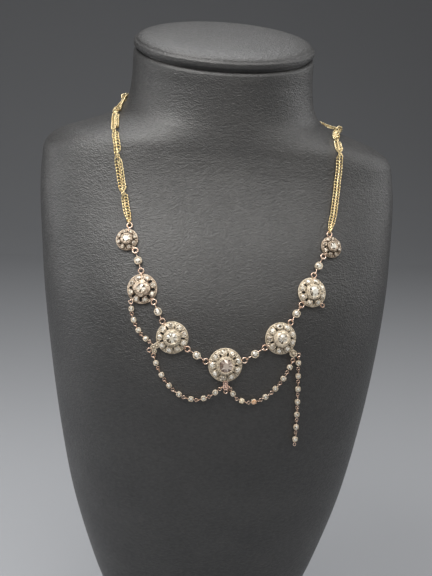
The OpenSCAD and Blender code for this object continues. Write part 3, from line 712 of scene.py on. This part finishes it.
def cap_piece():
    """The cap: a plug in the neck, a groove over it, a rounded edge and a low crown."""
    neck = section(NECK_TOP)
    half_w = section(CAP_SEAT)[HALF_W]
    half_d = (neck[BACK] - neck[FRONT]) / 2 / math.cos(NECK_SLOPE) + half_w - neck[HALF_W]
    edge = GROOVE_H + CAP_EDGE_H
    levels = [(CAP_SEAT_GAP, PLUG_INSET), (GROOVE_H, PLUG_INSET)]
    levels += [(GROOVE_H + rise, inset) for rise, inset in CAP_LOWER]
    levels += [(edge + rise, inset) for rise, inset in CAP_UPPER]
    for t in np.linspace(0.04, 0.985, CROWN_ROWS):
        levels.append((edge + CROWN_START + (CAP_CROWN_H - CROWN_START) * math.sin(t * math.pi / 2),
                       CROWN_INSET + (half_w - CROWN_INSET) * t ** CROWN_POWER))
    turn = np.arange(BUST_SIDES) * TURN / BUST_SIDES
    points = [[math.sin(a) * (half_w - v), -math.cos(a) * (half_d - v * half_d / half_w), h]
              for h, v in levels for a in turn]
    build = Build()
    build.add((points, closed_faces(len(levels), BUST_SIDES)),
              moved(0, MIDDLE_Y, NECK_TOP) @ turned("x", NECK_SLOPE))
    return build.piece("bust_cap_cover", [LEATHER], "leather_cover", ["bust_cap"], crease=60)


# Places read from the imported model

def solids(name):
    """The separate solids of a CAD node: for each, its corners in mm and its triangles' corner numbers."""
    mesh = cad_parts[name].data
    co = np.array([v.co[:] for v in mesh.vertices]) / MM
    mesh.calc_loop_triangles()
    tris = np.array([t.vertices[:] for t in mesh.loop_triangles])
    keys, same = np.unique(np.round(co, 3), axis=0, return_inverse=True)
    tris = same.reshape(-1)[tris]
    parent = list(range(len(keys)))

    def root(i):
        while parent[i] != i:
            parent[i] = parent[parent[i]]
            i = parent[i]
        return i
    for a, b, c in tris:
        parent[root(a)] = root(b)
        parent[root(b)] = root(c)
    group = np.array([root(i) for i in range(len(keys))])
    return [(keys, tris[group[tris[:, 0]] == g]) for g in np.unique(group)]


def stone_seat(solid):
    """Of a cut stone: the middle of its table, the table's outward normal, and its radius."""
    keys, tris = solid
    a, b, c = (keys[tris[:, i]] for i in range(3))
    cross = np.cross(b - a, c - a)
    area = np.linalg.norm(cross, axis=1)
    normal = cross / area[:, None]
    best = max(range(len(tris)), key=lambda i: area[(normal @ normal[i]) > SAME_PLANE].sum())
    table = (normal @ normal[best]) > SAME_PLANE
    n = unit((normal[table] * area[table, None]).sum(0))
    middle = keys[np.unique(tris[table])].mean(0)
    used = keys[np.unique(tris)]
    away = used - middle
    radius = np.linalg.norm(away - (away @ n)[:, None] * n, axis=1).max()
    return middle, n, radius


def metal_axis(solid, out):
    """Of a collet with an eye at each end: its long axis, with the flat eye ahead, and its half length."""
    keys, tris = solid
    a, b, c = (keys[tris[:, i]] for i in range(3))
    area = np.linalg.norm(np.cross(b - a, c - a), axis=1)
    mid = (a + b + c) / 3
    centre = (mid * area[:, None]).sum(0) / area.sum()
    rel = mid - centre
    spread = (rel * area[:, None]).T @ rel
    x = np.linalg.eigh(spread)[1][:, -1]
    x = unit(x - np.dot(x, out) * out)
    used = keys[np.unique(tris)] - centre
    along, up = used @ x, used @ out
    half = np.abs(along).max()
    ahead, behind = up[along > EYE_SHARE * half], up[along < -EYE_SHARE * half]
    if np.ptp(ahead) > np.ptp(behind):
        x = -x
    return x, half


def linked_places(metal, stones, form):
    """Frames of the collets of a node, and how far their eyes reach from the middle."""
    stone_r = form["r"] - form["wall"] - STONE_GAP
    rise = form["girdle"] + stone_r * CROWN_SHARE
    bodies = solids(metal)
    found = []
    for stone in solids(stones):
        middle, out, _ = stone_seat(stone)
        near = min(bodies, key=lambda s: np.linalg.norm(s[0][np.unique(s[1])].mean(0) - middle))
        x, half = metal_axis(near, out)
        found.append((frame_at(middle - rise * out, x, out), half))
    return found


# Clusters

class Cluster:
    """Measures of one cluster, counted from 1 at the left, and the frames in which its parts lie."""

    def __init__(self, number):
        self.number = number
        self.name = f"cluster_{number}"
        self.spec = CLUSTERS[number - 1]
        middle, out, self.stone_r = stone_seat(solids(f"{self.name}_centre_stone")[0])
        self.core_r = self.stone_r + CORE_WALL + STONE_GAP
        d = 2 * self.core_r / CORE_SHARE
        self.rim = d / 2
        self.top = CORE_TOP + CORE_TOP_SHARE * d
        rise = self.top - CENTRE_SEAT + self.stone_r * CROWN_SHARE
        self.place = frame_at(middle - rise * out, np.cross([0, 0, 1], out), out)
        self.core_place = self.place @ turned("z", math.radians(self.spec["turn"]))
        self.stone_place = self.core_place @ moved(z=self.top - CENTRE_SEAT)
        self.petal_r = (self.rim - self.core_r) * PETAL_SHARE
        self.petal_at = self.rim - self.petal_r - PETAL_INSET
        self.petal_stone_r = self.petal_r * PETAL_SLIM - PETAL_WALL - PETAL_STONE_GAP
        self.girdle = PETAL_FLOOR + STONE_GAP + self.petal_stone_r * PAVILION_SHARE
        self.slot = (self.petal_at - self.core_r) * self.spec["slot"][0]
        self.slot_at = self.core_r + SLOT_START + self.slot

    def dome(self, r):
        """Height of the plate's top at a radius."""
        start = self.top - DOME_DROP
        t = (r - self.core_r) / (self.rim - PLATE_LAP - self.core_r)
        swell = DOME_SWELL * math.sin(max(0, min(1, t)) * math.pi)
        return start + (RIM_Z + DOME_EDGE - start) * t + swell

    def petal_place(self, k):
        turn = turned("z", (k + 0.5) * TURN / self.spec["petals"])
        return self.place @ turn @ moved(self.petal_at, 0, RIM_Z + PETAL_FOOT) @ turned("y", PETAL_TILT)


def pierced_sector(n, inner, outer, slot_at, slot, height):
    """One of n sectors of a domed plate from radius inner to outer, with an oval opening in it."""
    steps = range(SECTOR_STEPS)
    half = math.pi / n
    width, depth = 2 * half, outer - inner
    line = [(inner, -half + width * k / SECTOR_STEPS) for k in steps]
    line += [(inner + depth * k / SECTOR_STEPS, half) for k in steps]
    line += [(outer, half - width * k / SECTOR_STEPS) for k in steps]
    line += [(outer - depth * k / SECTOR_STEPS, -half) for k in steps]
    edge = np.array([[r * math.cos(t), r * math.sin(t)] for r, t in line])
    away = edge - [slot_at, 0]
    hole = [slot_at, 0] + away / np.linalg.norm(away / np.array(slot), axis=1)[:, None]

    def raised(loop, drop=0.0):
        return [[x, y, height(math.hypot(x, y)) - drop] for x, y in loop]
    loops = [raised(edge + (hole - edge) * share) for share in (0.0, 0.35, 0.7, 1.0)]
    loops += [raised(hole, SHELL_T), raised(edge, SHELL_T)]
    return [p for loop in loops for p in loop], grid_faces(len(loops), len(edge))


def collet(r, wall, back, top, sides=32, flare=0.12, square=CUSHION):
    """An open setting with a rolled lip and a slightly flared wall."""
    inner = r - wall
    return lathe([(r - flare - wall, back), (r - flare, back), (r - flare * 0.3, (back + top) / 2),
                  (r - 0.02, top - 0.16), (r - 0.06, top - 0.04), (r - 0.16, top + 0.02),
                  ((r + inner) / 2, top + 0.05), (inner + 0.06, top + 0.02), (inner, top - 0.08),
                  (inner - 0.03, top - 0.25), (inner - 0.03, back + 0.3)], sides, square=square)


def bezel(stone_r, lip, table, square):
    """A sloping skin of metal rubbed over a stone's crown, from its girdle up to the lip's inner edge."""
    bend_r, bend_h = CROWN_BEND

    def height(r, lift):
        heights = [CROWN_SHARE, CROWN_SHARE * bend_h, GIRDLE_SHARE / 2]
        return lift + stone_r * np.interp(r / stone_r, [table, bend_r, 1], heights)
    outer, inner = stone_r + BEZEL_LAP, stone_r - lip
    low = [(r, height(r, -BEZEL_HALF_T)) for r in np.linspace(inner, outer, 5)]
    high = [(r, height(r, BEZEL_HALF_T)) for r in np.linspace(outer - 0.03, inner + 0.34, 5)]
    edge = [(inner + out, height(inner, lift)) for out, lift in BEZEL_EDGE]
    return lathe(low + high + edge, CORE_SIDES, square=square)


def claw(r, back, top, over, wire):
    """A claw that climbs a collet's wall at radius r and bends over the stone."""
    path = [(r, 0, back), (r + 0.04, 0, top - 0.1), (r - over / 4, 0, top + 0.12), (r - over, 0, top + 0.16)]
    return sweep(path, [wire * 0.9, wire, wire * 1.1, wire * 0.7], sides=8)


def add_claws(build, place, count, r, back, top, form):
    """Claws round a collet of radius r. form is their inset, their reach and the radius of their wire."""
    inset, over, wire = form
    for k in range(count):
        build.add(claw(r - inset, back, top, over, wire), place @ turned("z", (k + 0.5) * TURN / count))


def ridge(inner, outer, height):
    """A rounded bar of metal lying outwards on a plate."""
    radii = np.array([0.35, 0.85, 1.0, 0.75]) * BAR_R
    return sweep([(r, 0, height(r) + BAR_LIFT) for r in np.linspace(inner, outer, 4)], radii)


def solder_bar(start, end, wire):
    return sweep([start, end], [wire / 2, wire / 2], caps=False)


def facet_tones(shape, table):
    """A painted reflection tone for each facet of a stone: the table's as given, each other one at random
    dark or bright.
    """
    tones = [table]
    for _ in shape[1][1:]:
        dark, bright = random.uniform(*PAINTED_DARK_FACETS), random.uniform(*PAINTED_BRIGHT_FACETS)
        tones.append(random.choice((dark, bright)))
    return tones


def add_plate(mount, cluster):
    """The pierced dome. An opening is wide where one of the open directions points into its sector."""
    n = cluster.spec["petals"]
    for k in range(n):
        turn = k * 360 / n
        near = min(abs((turn - a + 180) % 360 - 180) for a in cluster.spec["open"])
        width = cluster.spec["slot"][1] if near <= 180 / n else CLOSED_SLOT
        sector = pierced_sector(n, cluster.core_r - PLATE_TUCK, cluster.rim - PLATE_LAP, cluster.slot_at,
                                (cluster.slot, width), cluster.dome)
        mount.add(sector, cluster.place @ turned("z", math.radians(turn)))


def add_core(mount, cluster):
    """The centre collet, the metal rubbed over its stone, and its claws."""
    square, top, r = cluster.spec["square"], cluster.top, cluster.core_r
    mount.add(collet(r, CORE_WALL, RIM_Z, top + CORE_LIP, CORE_SIDES, CORE_TAPER, square), cluster.core_place)
    rubbed = bezel(cluster.stone_r + STONE_SWELL, cluster.spec["lip"], cluster.spec["table"][0], square)
    mount.add(rubbed, cluster.stone_place)
    add_claws(mount, cluster.core_place, CORE_CLAWS, r, top - CORE_CLAW_FOOT, top + CORE_CLAW_HEAD, CORE_CLAW)


def add_petal(mount, cluster, place):
    """One petal's collet with its floor, coloured dark as painted shade, and its claws."""
    r, top = cluster.petal_r * PETAL_SLIM, cluster.girdle + PETAL_LIP
    mount.add(collet(r, PETAL_WALL, PETAL_BACK, top - PETAL_DROP), place)
    floor = [(NEAR_AXIS, PETAL_FLOOR), (cluster.petal_r - PETAL_FLOOR_GAP, PETAL_FLOOR)]
    # The floor is a dark sheet of painted shade under the stone.
    mount.add(lathe(floor, 20, closed=False), place, kind=1)
    add_claws(mount, place, PETAL_CLAWS, r, PETAL_BACK, top - PETAL_CLAW_DROP, PETAL_CLAW)


def mount_piece(cluster):
    """A cluster's soldered silver: rim, pierced plate, collets, and the bars between the petals."""
    mount = Build()
    mount.add(lathe([(cluster.rim + out, z) for out, z in RIM_BAND], RIM_SIDES), cluster.place)
    add_plate(mount, cluster)
    add_core(mount, cluster)
    for k in range(cluster.spec["petals"]):
        add_petal(mount, cluster, cluster.petal_place(k))
        bar = ridge(cluster.slot_at + cluster.slot + BAR_START, cluster.rim - PLATE_LAP, cluster.dome)
        mount.add(bar, cluster.place @ turned("z", k * TURN / cluster.spec["petals"]))
    # Some clusters take the darker copy of the silver as painted shade.
    silver = SILVER_SHADED if cluster.number in SHADED_CLUSTERS else SILVER
    mount.piece(f"{cluster.name}_mount", [silver, SILVER_PAINTED_SHADE], "silver", [cluster.name])


def centre_stone_piece(cluster):
    table, table_flash = cluster.spec["table"]
    cut = cut_stone(cluster.stone_r + STONE_SWELL, CENTRE_CUTS, table=table, square=cluster.spec["square"])
    stone = Build()
    stone.add(cut, cluster.stone_place, tones=facet_tones(cut, table_flash))
    look = ROSE_DIAMOND if cluster.number == ROSE_CLUSTER else DIAMOND
    stone.piece(f"{cluster.name}_centre_stone_cut", [look], "stones", [f"{cluster.name}_centre_stone"],
                smooth=False)


def petal_stones_piece(cluster):
    """The petals' stones, each turned and tilted a little its own way."""
    petals = Build()
    for k in range(cluster.spec["petals"]):
        spin = turned("z", random.uniform(0, STONE_SPIN))
        wobble = spin @ turned("x", random.uniform(-STONE_TILT, STONE_TILT))
        cut = cut_stone(cluster.petal_stone_r, SMALL_CUTS)
        tones = facet_tones(cut, random.uniform(*PETAL_TABLE_FLASHES))
        petals.add(cut, cluster.petal_place(k) @ moved(z=cluster.girdle) @ wobble, tones=tones)
    petals.piece(f"{cluster.name}_petal_stones_cut", [DIAMOND], "stones", [f"{cluster.name}_petal_stones"],
                 smooth=False)


def eye_heading(place, string):
    """Direction, in a cluster's plane, in which the string that its eye holds arrives."""
    ends = [m for m, _ in PLACES[string]]
    last = min(ends, key=lambda m: np.linalg.norm(m[:3, 3] - place[:3, 3]))
    x = place[:3, :3].T @ last[:3, 0]
    return math.atan2(x[1], x[0])


def add_lobe(lugs, place, r):
    """One lobe of a lug: a shallow cup with a wire edge and a bead in its middle."""
    h = LUG_H / 2
    profile = [(NEAR_AXIS, -h), (r * 0.8, -h), (r, -h * 0.5), (r, 0), (r * 0.93, h * 0.2), (r * 0.5, h * 0.3),
               (NEAR_AXIS, h * 0.35)]
    lugs.add(lathe(profile, 24, closed=False), place)
    lugs.add(wire_ring(2 * r - LUG_WIRE, LUG_WIRE), place @ moved(z=h * 0.5))
    lugs.add(bead(r * 0.36, 14), place @ moved(z=h * 0.7))


def findings(cluster):
    """The rose gold rings and eyes soldered to a cluster, and its lug."""
    gold, lugs = Build(), Build()
    place = cluster.place

    def at(beyond, degrees):
        return polar(cluster.rim + beyond, degrees, LINK_LIFT)

    def ring(root, centre, size):
        reach = centre - root
        tip = centre - size[0] / 2 * reach / np.linalg.norm(reach)
        gold.add(wire_ring(*size), place @ moved(*centre))
        gold.add(solder_bar(root, tip, size[1]), place)
    for degrees, beyond, size in cluster.spec["rings"]:
        ring(at(-RING_ROOT, degrees), at(beyond, degrees), size)
    lug = LUGS.get(cluster.number, NO_LUG)
    for beyond, degrees, r in lug["lobes"]:
        add_lobe(lugs, place @ moved(*at(beyond, degrees)), r)
    for lobe, beyond, degrees in lug["rings"]:
        ring(at(*lug["lobes"][lobe][:2]), at(beyond, degrees), SMALL_RING)
    eye_d, eye_wire = STRUNG["eye"]
    for lobe, beyond, degrees, string in lug["eyes"]:
        heading = eye_heading(place, string)
        centre = at(beyond, degrees)
        gold.add(wire_ring(eye_d, eye_wire, standing=True), place @ moved(*centre) @ turned("z", heading))
        tip = centre + eye_d / 2 * np.array([math.cos(heading), math.sin(heading), 0])
        gold.add(solder_bar(at(*lug["lobes"][lobe][:2]), tip, eye_wire), place)
    gold.piece(f"{cluster.name}_rings", [ROSE_GOLD], "rose_gold")
    if cluster.number == ROSE_CLUSTER:
        lugs.piece(f"{cluster.name}_lug", [PINK_GOLD], "rose_gold")
    elif lug["lobes"]:
        lugs.piece(f"{cluster.name}_lug", [SILVER], "silver")


def cluster_pieces(cluster):
    mount_piece(cluster)
    centre_stone_piece(cluster)
    petal_stones_piece(cluster)
    findings(cluster)


# Connectors and strings

def add_eyes(gold, place, r, half, form):
    """The eyes at both ends of a collet, each on a short bar. half is how far they reach."""
    eye_d, eye_wire = form["eye"]
    eye_x = half - (eye_d + eye_wire) / 2
    for side in (-1, 1):
        standing = side < 0 or not form["flat_eye"]
        gold.add(wire_ring(eye_d, eye_wire, sides=22, standing=standing), place @ moved(side * eye_x))
        start, end = side * (r - EYE_ROOT), side * (eye_x - eye_d / 2)
        gold.add(solder_bar((start, 0, 0), (end, 0, 0), eye_wire), place)


def link_pieces(name, form, stones, odd_stones=()):
    """Collets with claws, their eyes and their stones, for one connector or one string."""
    r = form["r"] * form["slim"]
    foot, head = LINK_CLAW_FOOT - form["back"], form["top"] - LINK_CLAW_DROP
    silver, gold, gems = Build(), Build(), Build()
    for k, (place, half) in enumerate(PLACES[name]):
        silver.add(collet(r, form["wall"], -form["back"], form["top"]), place)
        add_claws(silver, place, form["claws"], r, foot, head, LINK_CLAW)
        add_eyes(gold, place, r, half, form)
        odd = k in odd_stones
        z = form["girdle"] + (ODD_STONE_LIFT if odd else 0)
        stone_place = place @ moved(z=z) @ turned("z", random.uniform(0, STONE_SPIN))
        cut = cut_stone(r - (ODD_STONE_INSET if odd else form["wall"] + LINK_STONE_GAP), SMALL_CUTS)
        kind = odd_stones.index(k) + 1 if odd else 0
        gems.add(cut, stone_place, kind=kind, tones=facet_tones(cut, random.uniform(*LINK_TABLE_FLASHES)))
    silver.piece(f"{name}_collets", [SILVER], "silver", [name])
    gold.piece(f"{name}_loops", [ROSE_GOLD], "rose_gold", [name])
    looks = [DIAMOND, PEACH, CREAM][:len(odd_stones) + 1]
    gems.piece(f"{name}_stones_cut", looks, "stones", [stones], smooth=False)


def string_pieces(name):
    odd = []
    if name == "lower_right_string":
        xs = [m[0, 3] for m, _ in PLACES[name]]
        odd = [min(range(len(xs)), key=lambda k: abs(xs[k] - x)) for x in ODD_STONES_X]
    link_pieces(name, STRUNG, f"{name}_stones", odd)


PLACES = {name: linked_places(name, f"{name}_stone", CONNECTOR) for name in CONNECTORS}
PLACES.update({name: linked_places(name, f"{name}_stones", STRUNG) for name in STRINGS})


# Double chain

def end_ring_piece(side):
    """One end ring, laid as its solid lies. Its middle is given back."""
    node_name = f"{side}_end_ring"
    keys, tris = solids(node_name)[0]
    used = keys[np.unique(tris)]
    centre = (used.max(0) + used.min(0)) / 2
    rel = used - used.mean(0)
    out = np.linalg.eigh(rel.T @ rel)[1][:, 0]
    build = Build()
    build.add(wire_ring(*SMALL_RING), frame_at(used.mean(0), np.cross(out, [0.3, 0.5, 0.8]), out))
    build.piece(f"{side}_end_ring_wire", [PALE_GOLD], "pale_gold", [node_name])
    return centre


def route(rows, side, start):
    """Points and normals of the chain's middle line, and the distances and angles along it."""
    rows = [(side * a, z) for a, z in rows]
    table = np.array([nearest_turn(start)] + rows)
    flat = []
    for k in range(len(table) - 1):
        a, b = table[k], table[k + 1]
        before, after = table[max(k - 1, 0)], table[min(k + 2, len(table) - 1)]
        for t in np.arange(0, 1, 0.05):
            flat.append(blend(a, b, (b - before) / 2, (after - a) / 2, t))
    flat.append(table[-1])
    lift = STRAND_T / 2 + STRAND_GAP
    points = np.array([skin(a, z) + lift * skin_normal(a, z) for a, z in flat])
    normals = np.array([skin_normal(a, z) for a, z in flat])
    return points, normals, distances(points), np.array([abs(a) for a, _ in flat])


def nearest_turn(p):
    """Angle and height on the skin nearest to a point in front of it, searched in ever smaller steps."""
    guess = np.array([math.degrees(math.atan2(p[0], MIDDLE_Y - p[1])), p[2]])
    step = 20.0
    while step > 0.005:
        options = [guess + [i * step, j * step] for i in (-1, 0, 1) for j in (-1, 0, 1)]
        options = [o for o in options if 5 < o[1] < 340]
        guess = min(options, key=lambda o: np.linalg.norm(skin(*o) - p))
        step *= 0.7
    return guess


def curb_link():
    """One link of a curb chain: an oval of wire, twisted a quarter turn from end to end."""
    length = LINK_PITCH + 2 * LINK_WIRE
    a, b = (length - LINK_WIRE) / 2, (LINK_W - LINK_WIRE) / 2
    sides, wire_sides = 16, 6
    points = []
    for k in range(sides):
        t = k * TURN / sides
        x, y = a * math.cos(t), b * math.sin(t)
        normal = unit(np.array([b * math.cos(t), a * math.sin(t)]))
        for w in range(wire_sides):
            u = w * TURN / wire_sides
            px = x + LINK_WIRE / 2 * math.cos(u) * normal[0]
            py = y + LINK_WIRE / 2 * math.cos(u) * normal[1]
            pz = LINK_WIRE / 2 * math.sin(u)
            roll = px / a * math.pi / 4
            c, s = math.cos(roll), math.sin(roll)
            points.append([px, py * c - pz * s, py * s + pz * c])
    return points, grid_faces(sides, wire_sides, close_rows=True)


def chain_pieces(side_name, side, rows, crossings):
    """The two strands of one side. side is -1 for the left and 1 for the right."""
    start = end_ring_piece(side_name)
    points, normals, run, angles = route(rows, side, start)
    marks = [float(np.interp(a, angles, run)) for a in crossings]
    link = curb_link()
    begin = (SMALL_RING[0] + SMALL_RING[1]) / 2 + LINK_START
    for strand, sign, lean in (("inner", -1, STRAND_LEAN), ("outer", 1, 0.0)):
        build = Build()
        for s in np.arange(begin, run[-1] - LINK_START, LINK_PITCH):
            here, out, slant = chain_point(points, normals, run, marks, s, sign * side)
            ahead = chain_point(points, normals, run, marks, s + LOOK_AHEAD, sign * side)[0]
            place = frame_at(here, ahead - here, out)
            build.add(link, place @ turned("x", -side * lean) @ turned("z", slant))
        build.piece(f"{side_name}_{strand}_links", [PALE_GOLD], "pale_gold", [f"{side_name}_strand_{strand}"],
                    crease=70)


def row_at(s, run, rows):
    """Between the rows of a table, the one at a distance along the chain."""
    return np.array([np.interp(s, run, rows[:, c]) for c in range(3)])


def chain_point(points, normals, run, marks, s, sign):
    """Of one strand at a distance along the chain: its middle, its outward side and its links' slant.
    The two strands turn about each other by half a turn at each mark."""
    p = row_at(s, run, points)
    out = unit(row_at(s, run, normals))
    across = unit(np.cross(out, row_at(s + PROBE, run, points) - p))
    phase = sum(smooth_step((s - m) / CROSSING_RUN + 0.5) for m in marks) * math.pi
    first, last = START_RUN
    close = smooth_step((s - first) / (last - first)) * (1 - START_CLOSE) + START_CLOSE
    apart = STRAND_APART / 2 * close
    over = abs(math.sin(phase)) * apart + (1 - close) * START_LIFT
    middle = p + over * out + sign * apart * (math.cos(phase) * across + math.sin(phase) * out)
    outward = math.cos(phase) * out - math.sin(phase) * across
    return middle, outward, LINK_SLANT * math.cos(phase)


def clasp_piece():
    """A plain barrel clasp with a ring at each end and a turned line round its middle."""
    low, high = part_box("clasp")
    low, high = np.array(low) / MM, np.array(high) / MM
    r = (high[2] - low[2]) / 2 - CLASP_SHRINK
    outline = [(r * share, x) for share, x in CLASP_GROOVE]
    outline += [(r * share, CLASP_HALF - x) for share, x in CLASP_END] + [(NEAR_AXIS, CLASP_HALF)]
    profile = [(q, -x) for q, x in outline[::-1]] + outline
    build = Build()
    place = frame_at((low + high) / 2, [1, 0, 0], [0, 1, 0])
    build.add(lathe(profile, 40, closed=False), place @ turned("y", math.pi / 2))
    ring_x = CLASP_HALF + SMALL_RING[0] / 2 - CLASP_RING_LAP
    for end in (-1, 1):
        build.add(wire_ring(*SMALL_RING), place @ moved(end * ring_x))
    build.piece("clasp_barrel", [PALE_GOLD], "pale_gold", ["clasp"])


bust_piece()
cap_piece()
for number in range(1, len(CLUSTERS) + 1):
    cluster_pieces(Cluster(number))
for connector in CONNECTORS:
    link_pieces(connector, CONNECTOR, f"{connector}_stone")
for string in STRINGS:
    string_pieces(string)
chain_pieces("left", -1, LEFT_ROUTE, LEFT_CROSSINGS)
chain_pieces("right", 1, RIGHT_ROUTE, RIGHT_CROSSINGS)
clasp_piece()


# Floor, lights and camera

# Floor, in metres: half width, front, the line where it starts to curve up, the curve's radius, top
FLOOR_HALF_W = 3.5
FLOOR_FRONT = -2.2
FLOOR_BEND = 1.1
FLOOR_CURVE = 0.9
FLOOR_TOP = 3.2
FLOOR_COLOUR = (0.36, 0.37, 0.39, 1)

WORLD_COLOUR = (0.90, 0.90, 0.92, 1)
WORLD_STRENGTH = 0.05
CHEST = (0, 0, 0.24)
WARM = (1.0, 0.985, 0.96)
# Each light: place, point that it aims at, width and height, power, and colour where it isn't white
LIGHTS = {
    "key": ((-0.30, -0.26, 0.78), CHEST, (0.42, 0.38), 3.4, WARM),
    "key_fill": ((-0.12, -0.35, 0.90), CHEST, (0.42, 0.38), 0.7, WARM),
    "overhead": ((0, 0.30, 1.0), CHEST, (0.6, 0.5), 3.6),
    "left_side": ((-0.95, 0, 0.55), CHEST, (0.6, 0.6), 1.3),
    "left_floor": ((-0.5, 0.05, 0.3), (-0.42, 0.05, 0), (0.35, 0.45), 1.0),
    "right_side": ((0.95, 0, 0.55), CHEST, (0.6, 0.6), 1.8),
    "right_back": ((0.85, 0.35, 0.6), CHEST, (0.5, 0.6), 1.1),
    "right_front": ((0.35, -0.3, 0.95), CHEST, (0.5, 0.4), 2.3, WARM),
    "front_card": ((0, -1.2, 0.8), (0, 0, 0.22), (1.2, 0.5), 3.0, (1.0, 0.95, 0.89))}

# Camera: the point that it aims at and its distance in mm, its angles, its lens and sensor in mm
CAMERA_AIM = (0.0, -20 + MIDDLE_Y, 215.0)
CAMERA_DISTANCE = 750.0
CAMERA_AZIMUTH = math.radians(-8)
CAMERA_ELEVATION = math.radians(13)
CAMERA_ROLL = math.radians(3.2)
CAMERA_LENS = 112.5
CAMERA_SENSOR = 36.0


def stage():
    """A floor that curves up into a wall behind the bust."""
    look, _, shader = material("floor", Roughness=0.9)
    shader.inputs["Base Color"].default_value = FLOOR_COLOUR
    profile = [(FLOOR_FRONT, 0.0), (FLOOR_BEND, 0.0)]
    for t in np.linspace(0, math.pi / 2, 12):
        profile.append((FLOOR_BEND + FLOOR_CURVE * math.sin(t), FLOOR_CURVE * (1 - math.cos(t))))
    profile.append((FLOOR_BEND + FLOOR_CURVE, FLOOR_TOP))
    points, faces = [], []
    for y, z in profile:
        points += [(-FLOOR_HALF_W, y, z), (FLOOR_HALF_W, y, z)]
    for k in range(len(profile) - 1):
        faces.append((2 * k, 2 * k + 1, 2 * k + 3, 2 * k + 2))
    mesh = bpy.data.meshes.new("floor")
    mesh.from_pydata(points, [], faces)
    mesh.polygons.foreach_set("use_smooth", [True] * len(faces))
    mesh.materials.append(look)
    floor = bpy.data.objects.new("floor", mesh)
    bpy.context.scene.collection.objects.link(floor)


def area_light(name, place, target, size, power, colour=(1, 1, 1)):
    data = bpy.data.lights.new(name, "AREA")
    data.shape, data.size, data.size_y = "RECTANGLE", size[0], size[1]
    data.energy, data.color = power, colour
    lamp = bpy.data.objects.new(name, data)
    lamp.location = place
    direction = Vector(np.array(target) - np.array(place))
    lamp.rotation_euler = direction.to_track_quat("-Z", "Y").to_euler()
    bpy.context.scene.collection.objects.link(lamp)


def lights():
    world = bpy.data.worlds.new("studio")
    world.use_nodes = True
    background = world.node_tree.nodes["Background"]
    background.inputs["Color"].default_value = WORLD_COLOUR
    background.inputs["Strength"].default_value = WORLD_STRENGTH
    bpy.context.scene.world = world
    bpy.context.scene.view_settings.view_transform = "Standard"
    for name, settings in LIGHTS.items():
        area_light(name, *settings)


def camera():
    """The photo's view: a little from the left, looking down, and rolled."""
    a, e = CAMERA_AZIMUTH, CAMERA_ELEVATION
    back = np.array([math.sin(a) * math.cos(e), -math.cos(a) * math.cos(e), math.sin(e)])
    right = np.array([math.cos(a), math.sin(a), 0])
    up = np.cross(back, right)
    x = right * math.cos(CAMERA_ROLL) + up * math.sin(CAMERA_ROLL)
    y = up * math.cos(CAMERA_ROLL) - right * math.sin(CAMERA_ROLL)
    data = bpy.data.cameras.new("photo_view")
    data.sensor_fit, data.sensor_width, data.lens = "HORIZONTAL", CAMERA_SENSOR, CAMERA_LENS
    data.clip_start, data.clip_end = 0.05, 20
    view = bpy.data.objects.new("photo_view", data)
    m = np.eye(4)
    m[:3, 0], m[:3, 1], m[:3, 2] = x, y, back
    m[:3, 3] = (np.array(CAMERA_AIM) + CAMERA_DISTANCE * back) * MM
    view.matrix_world = Matrix(m.tolist())
    bpy.context.scene.collection.objects.link(view)
    bpy.context.scene.camera = view


stage()
lights()
camera()
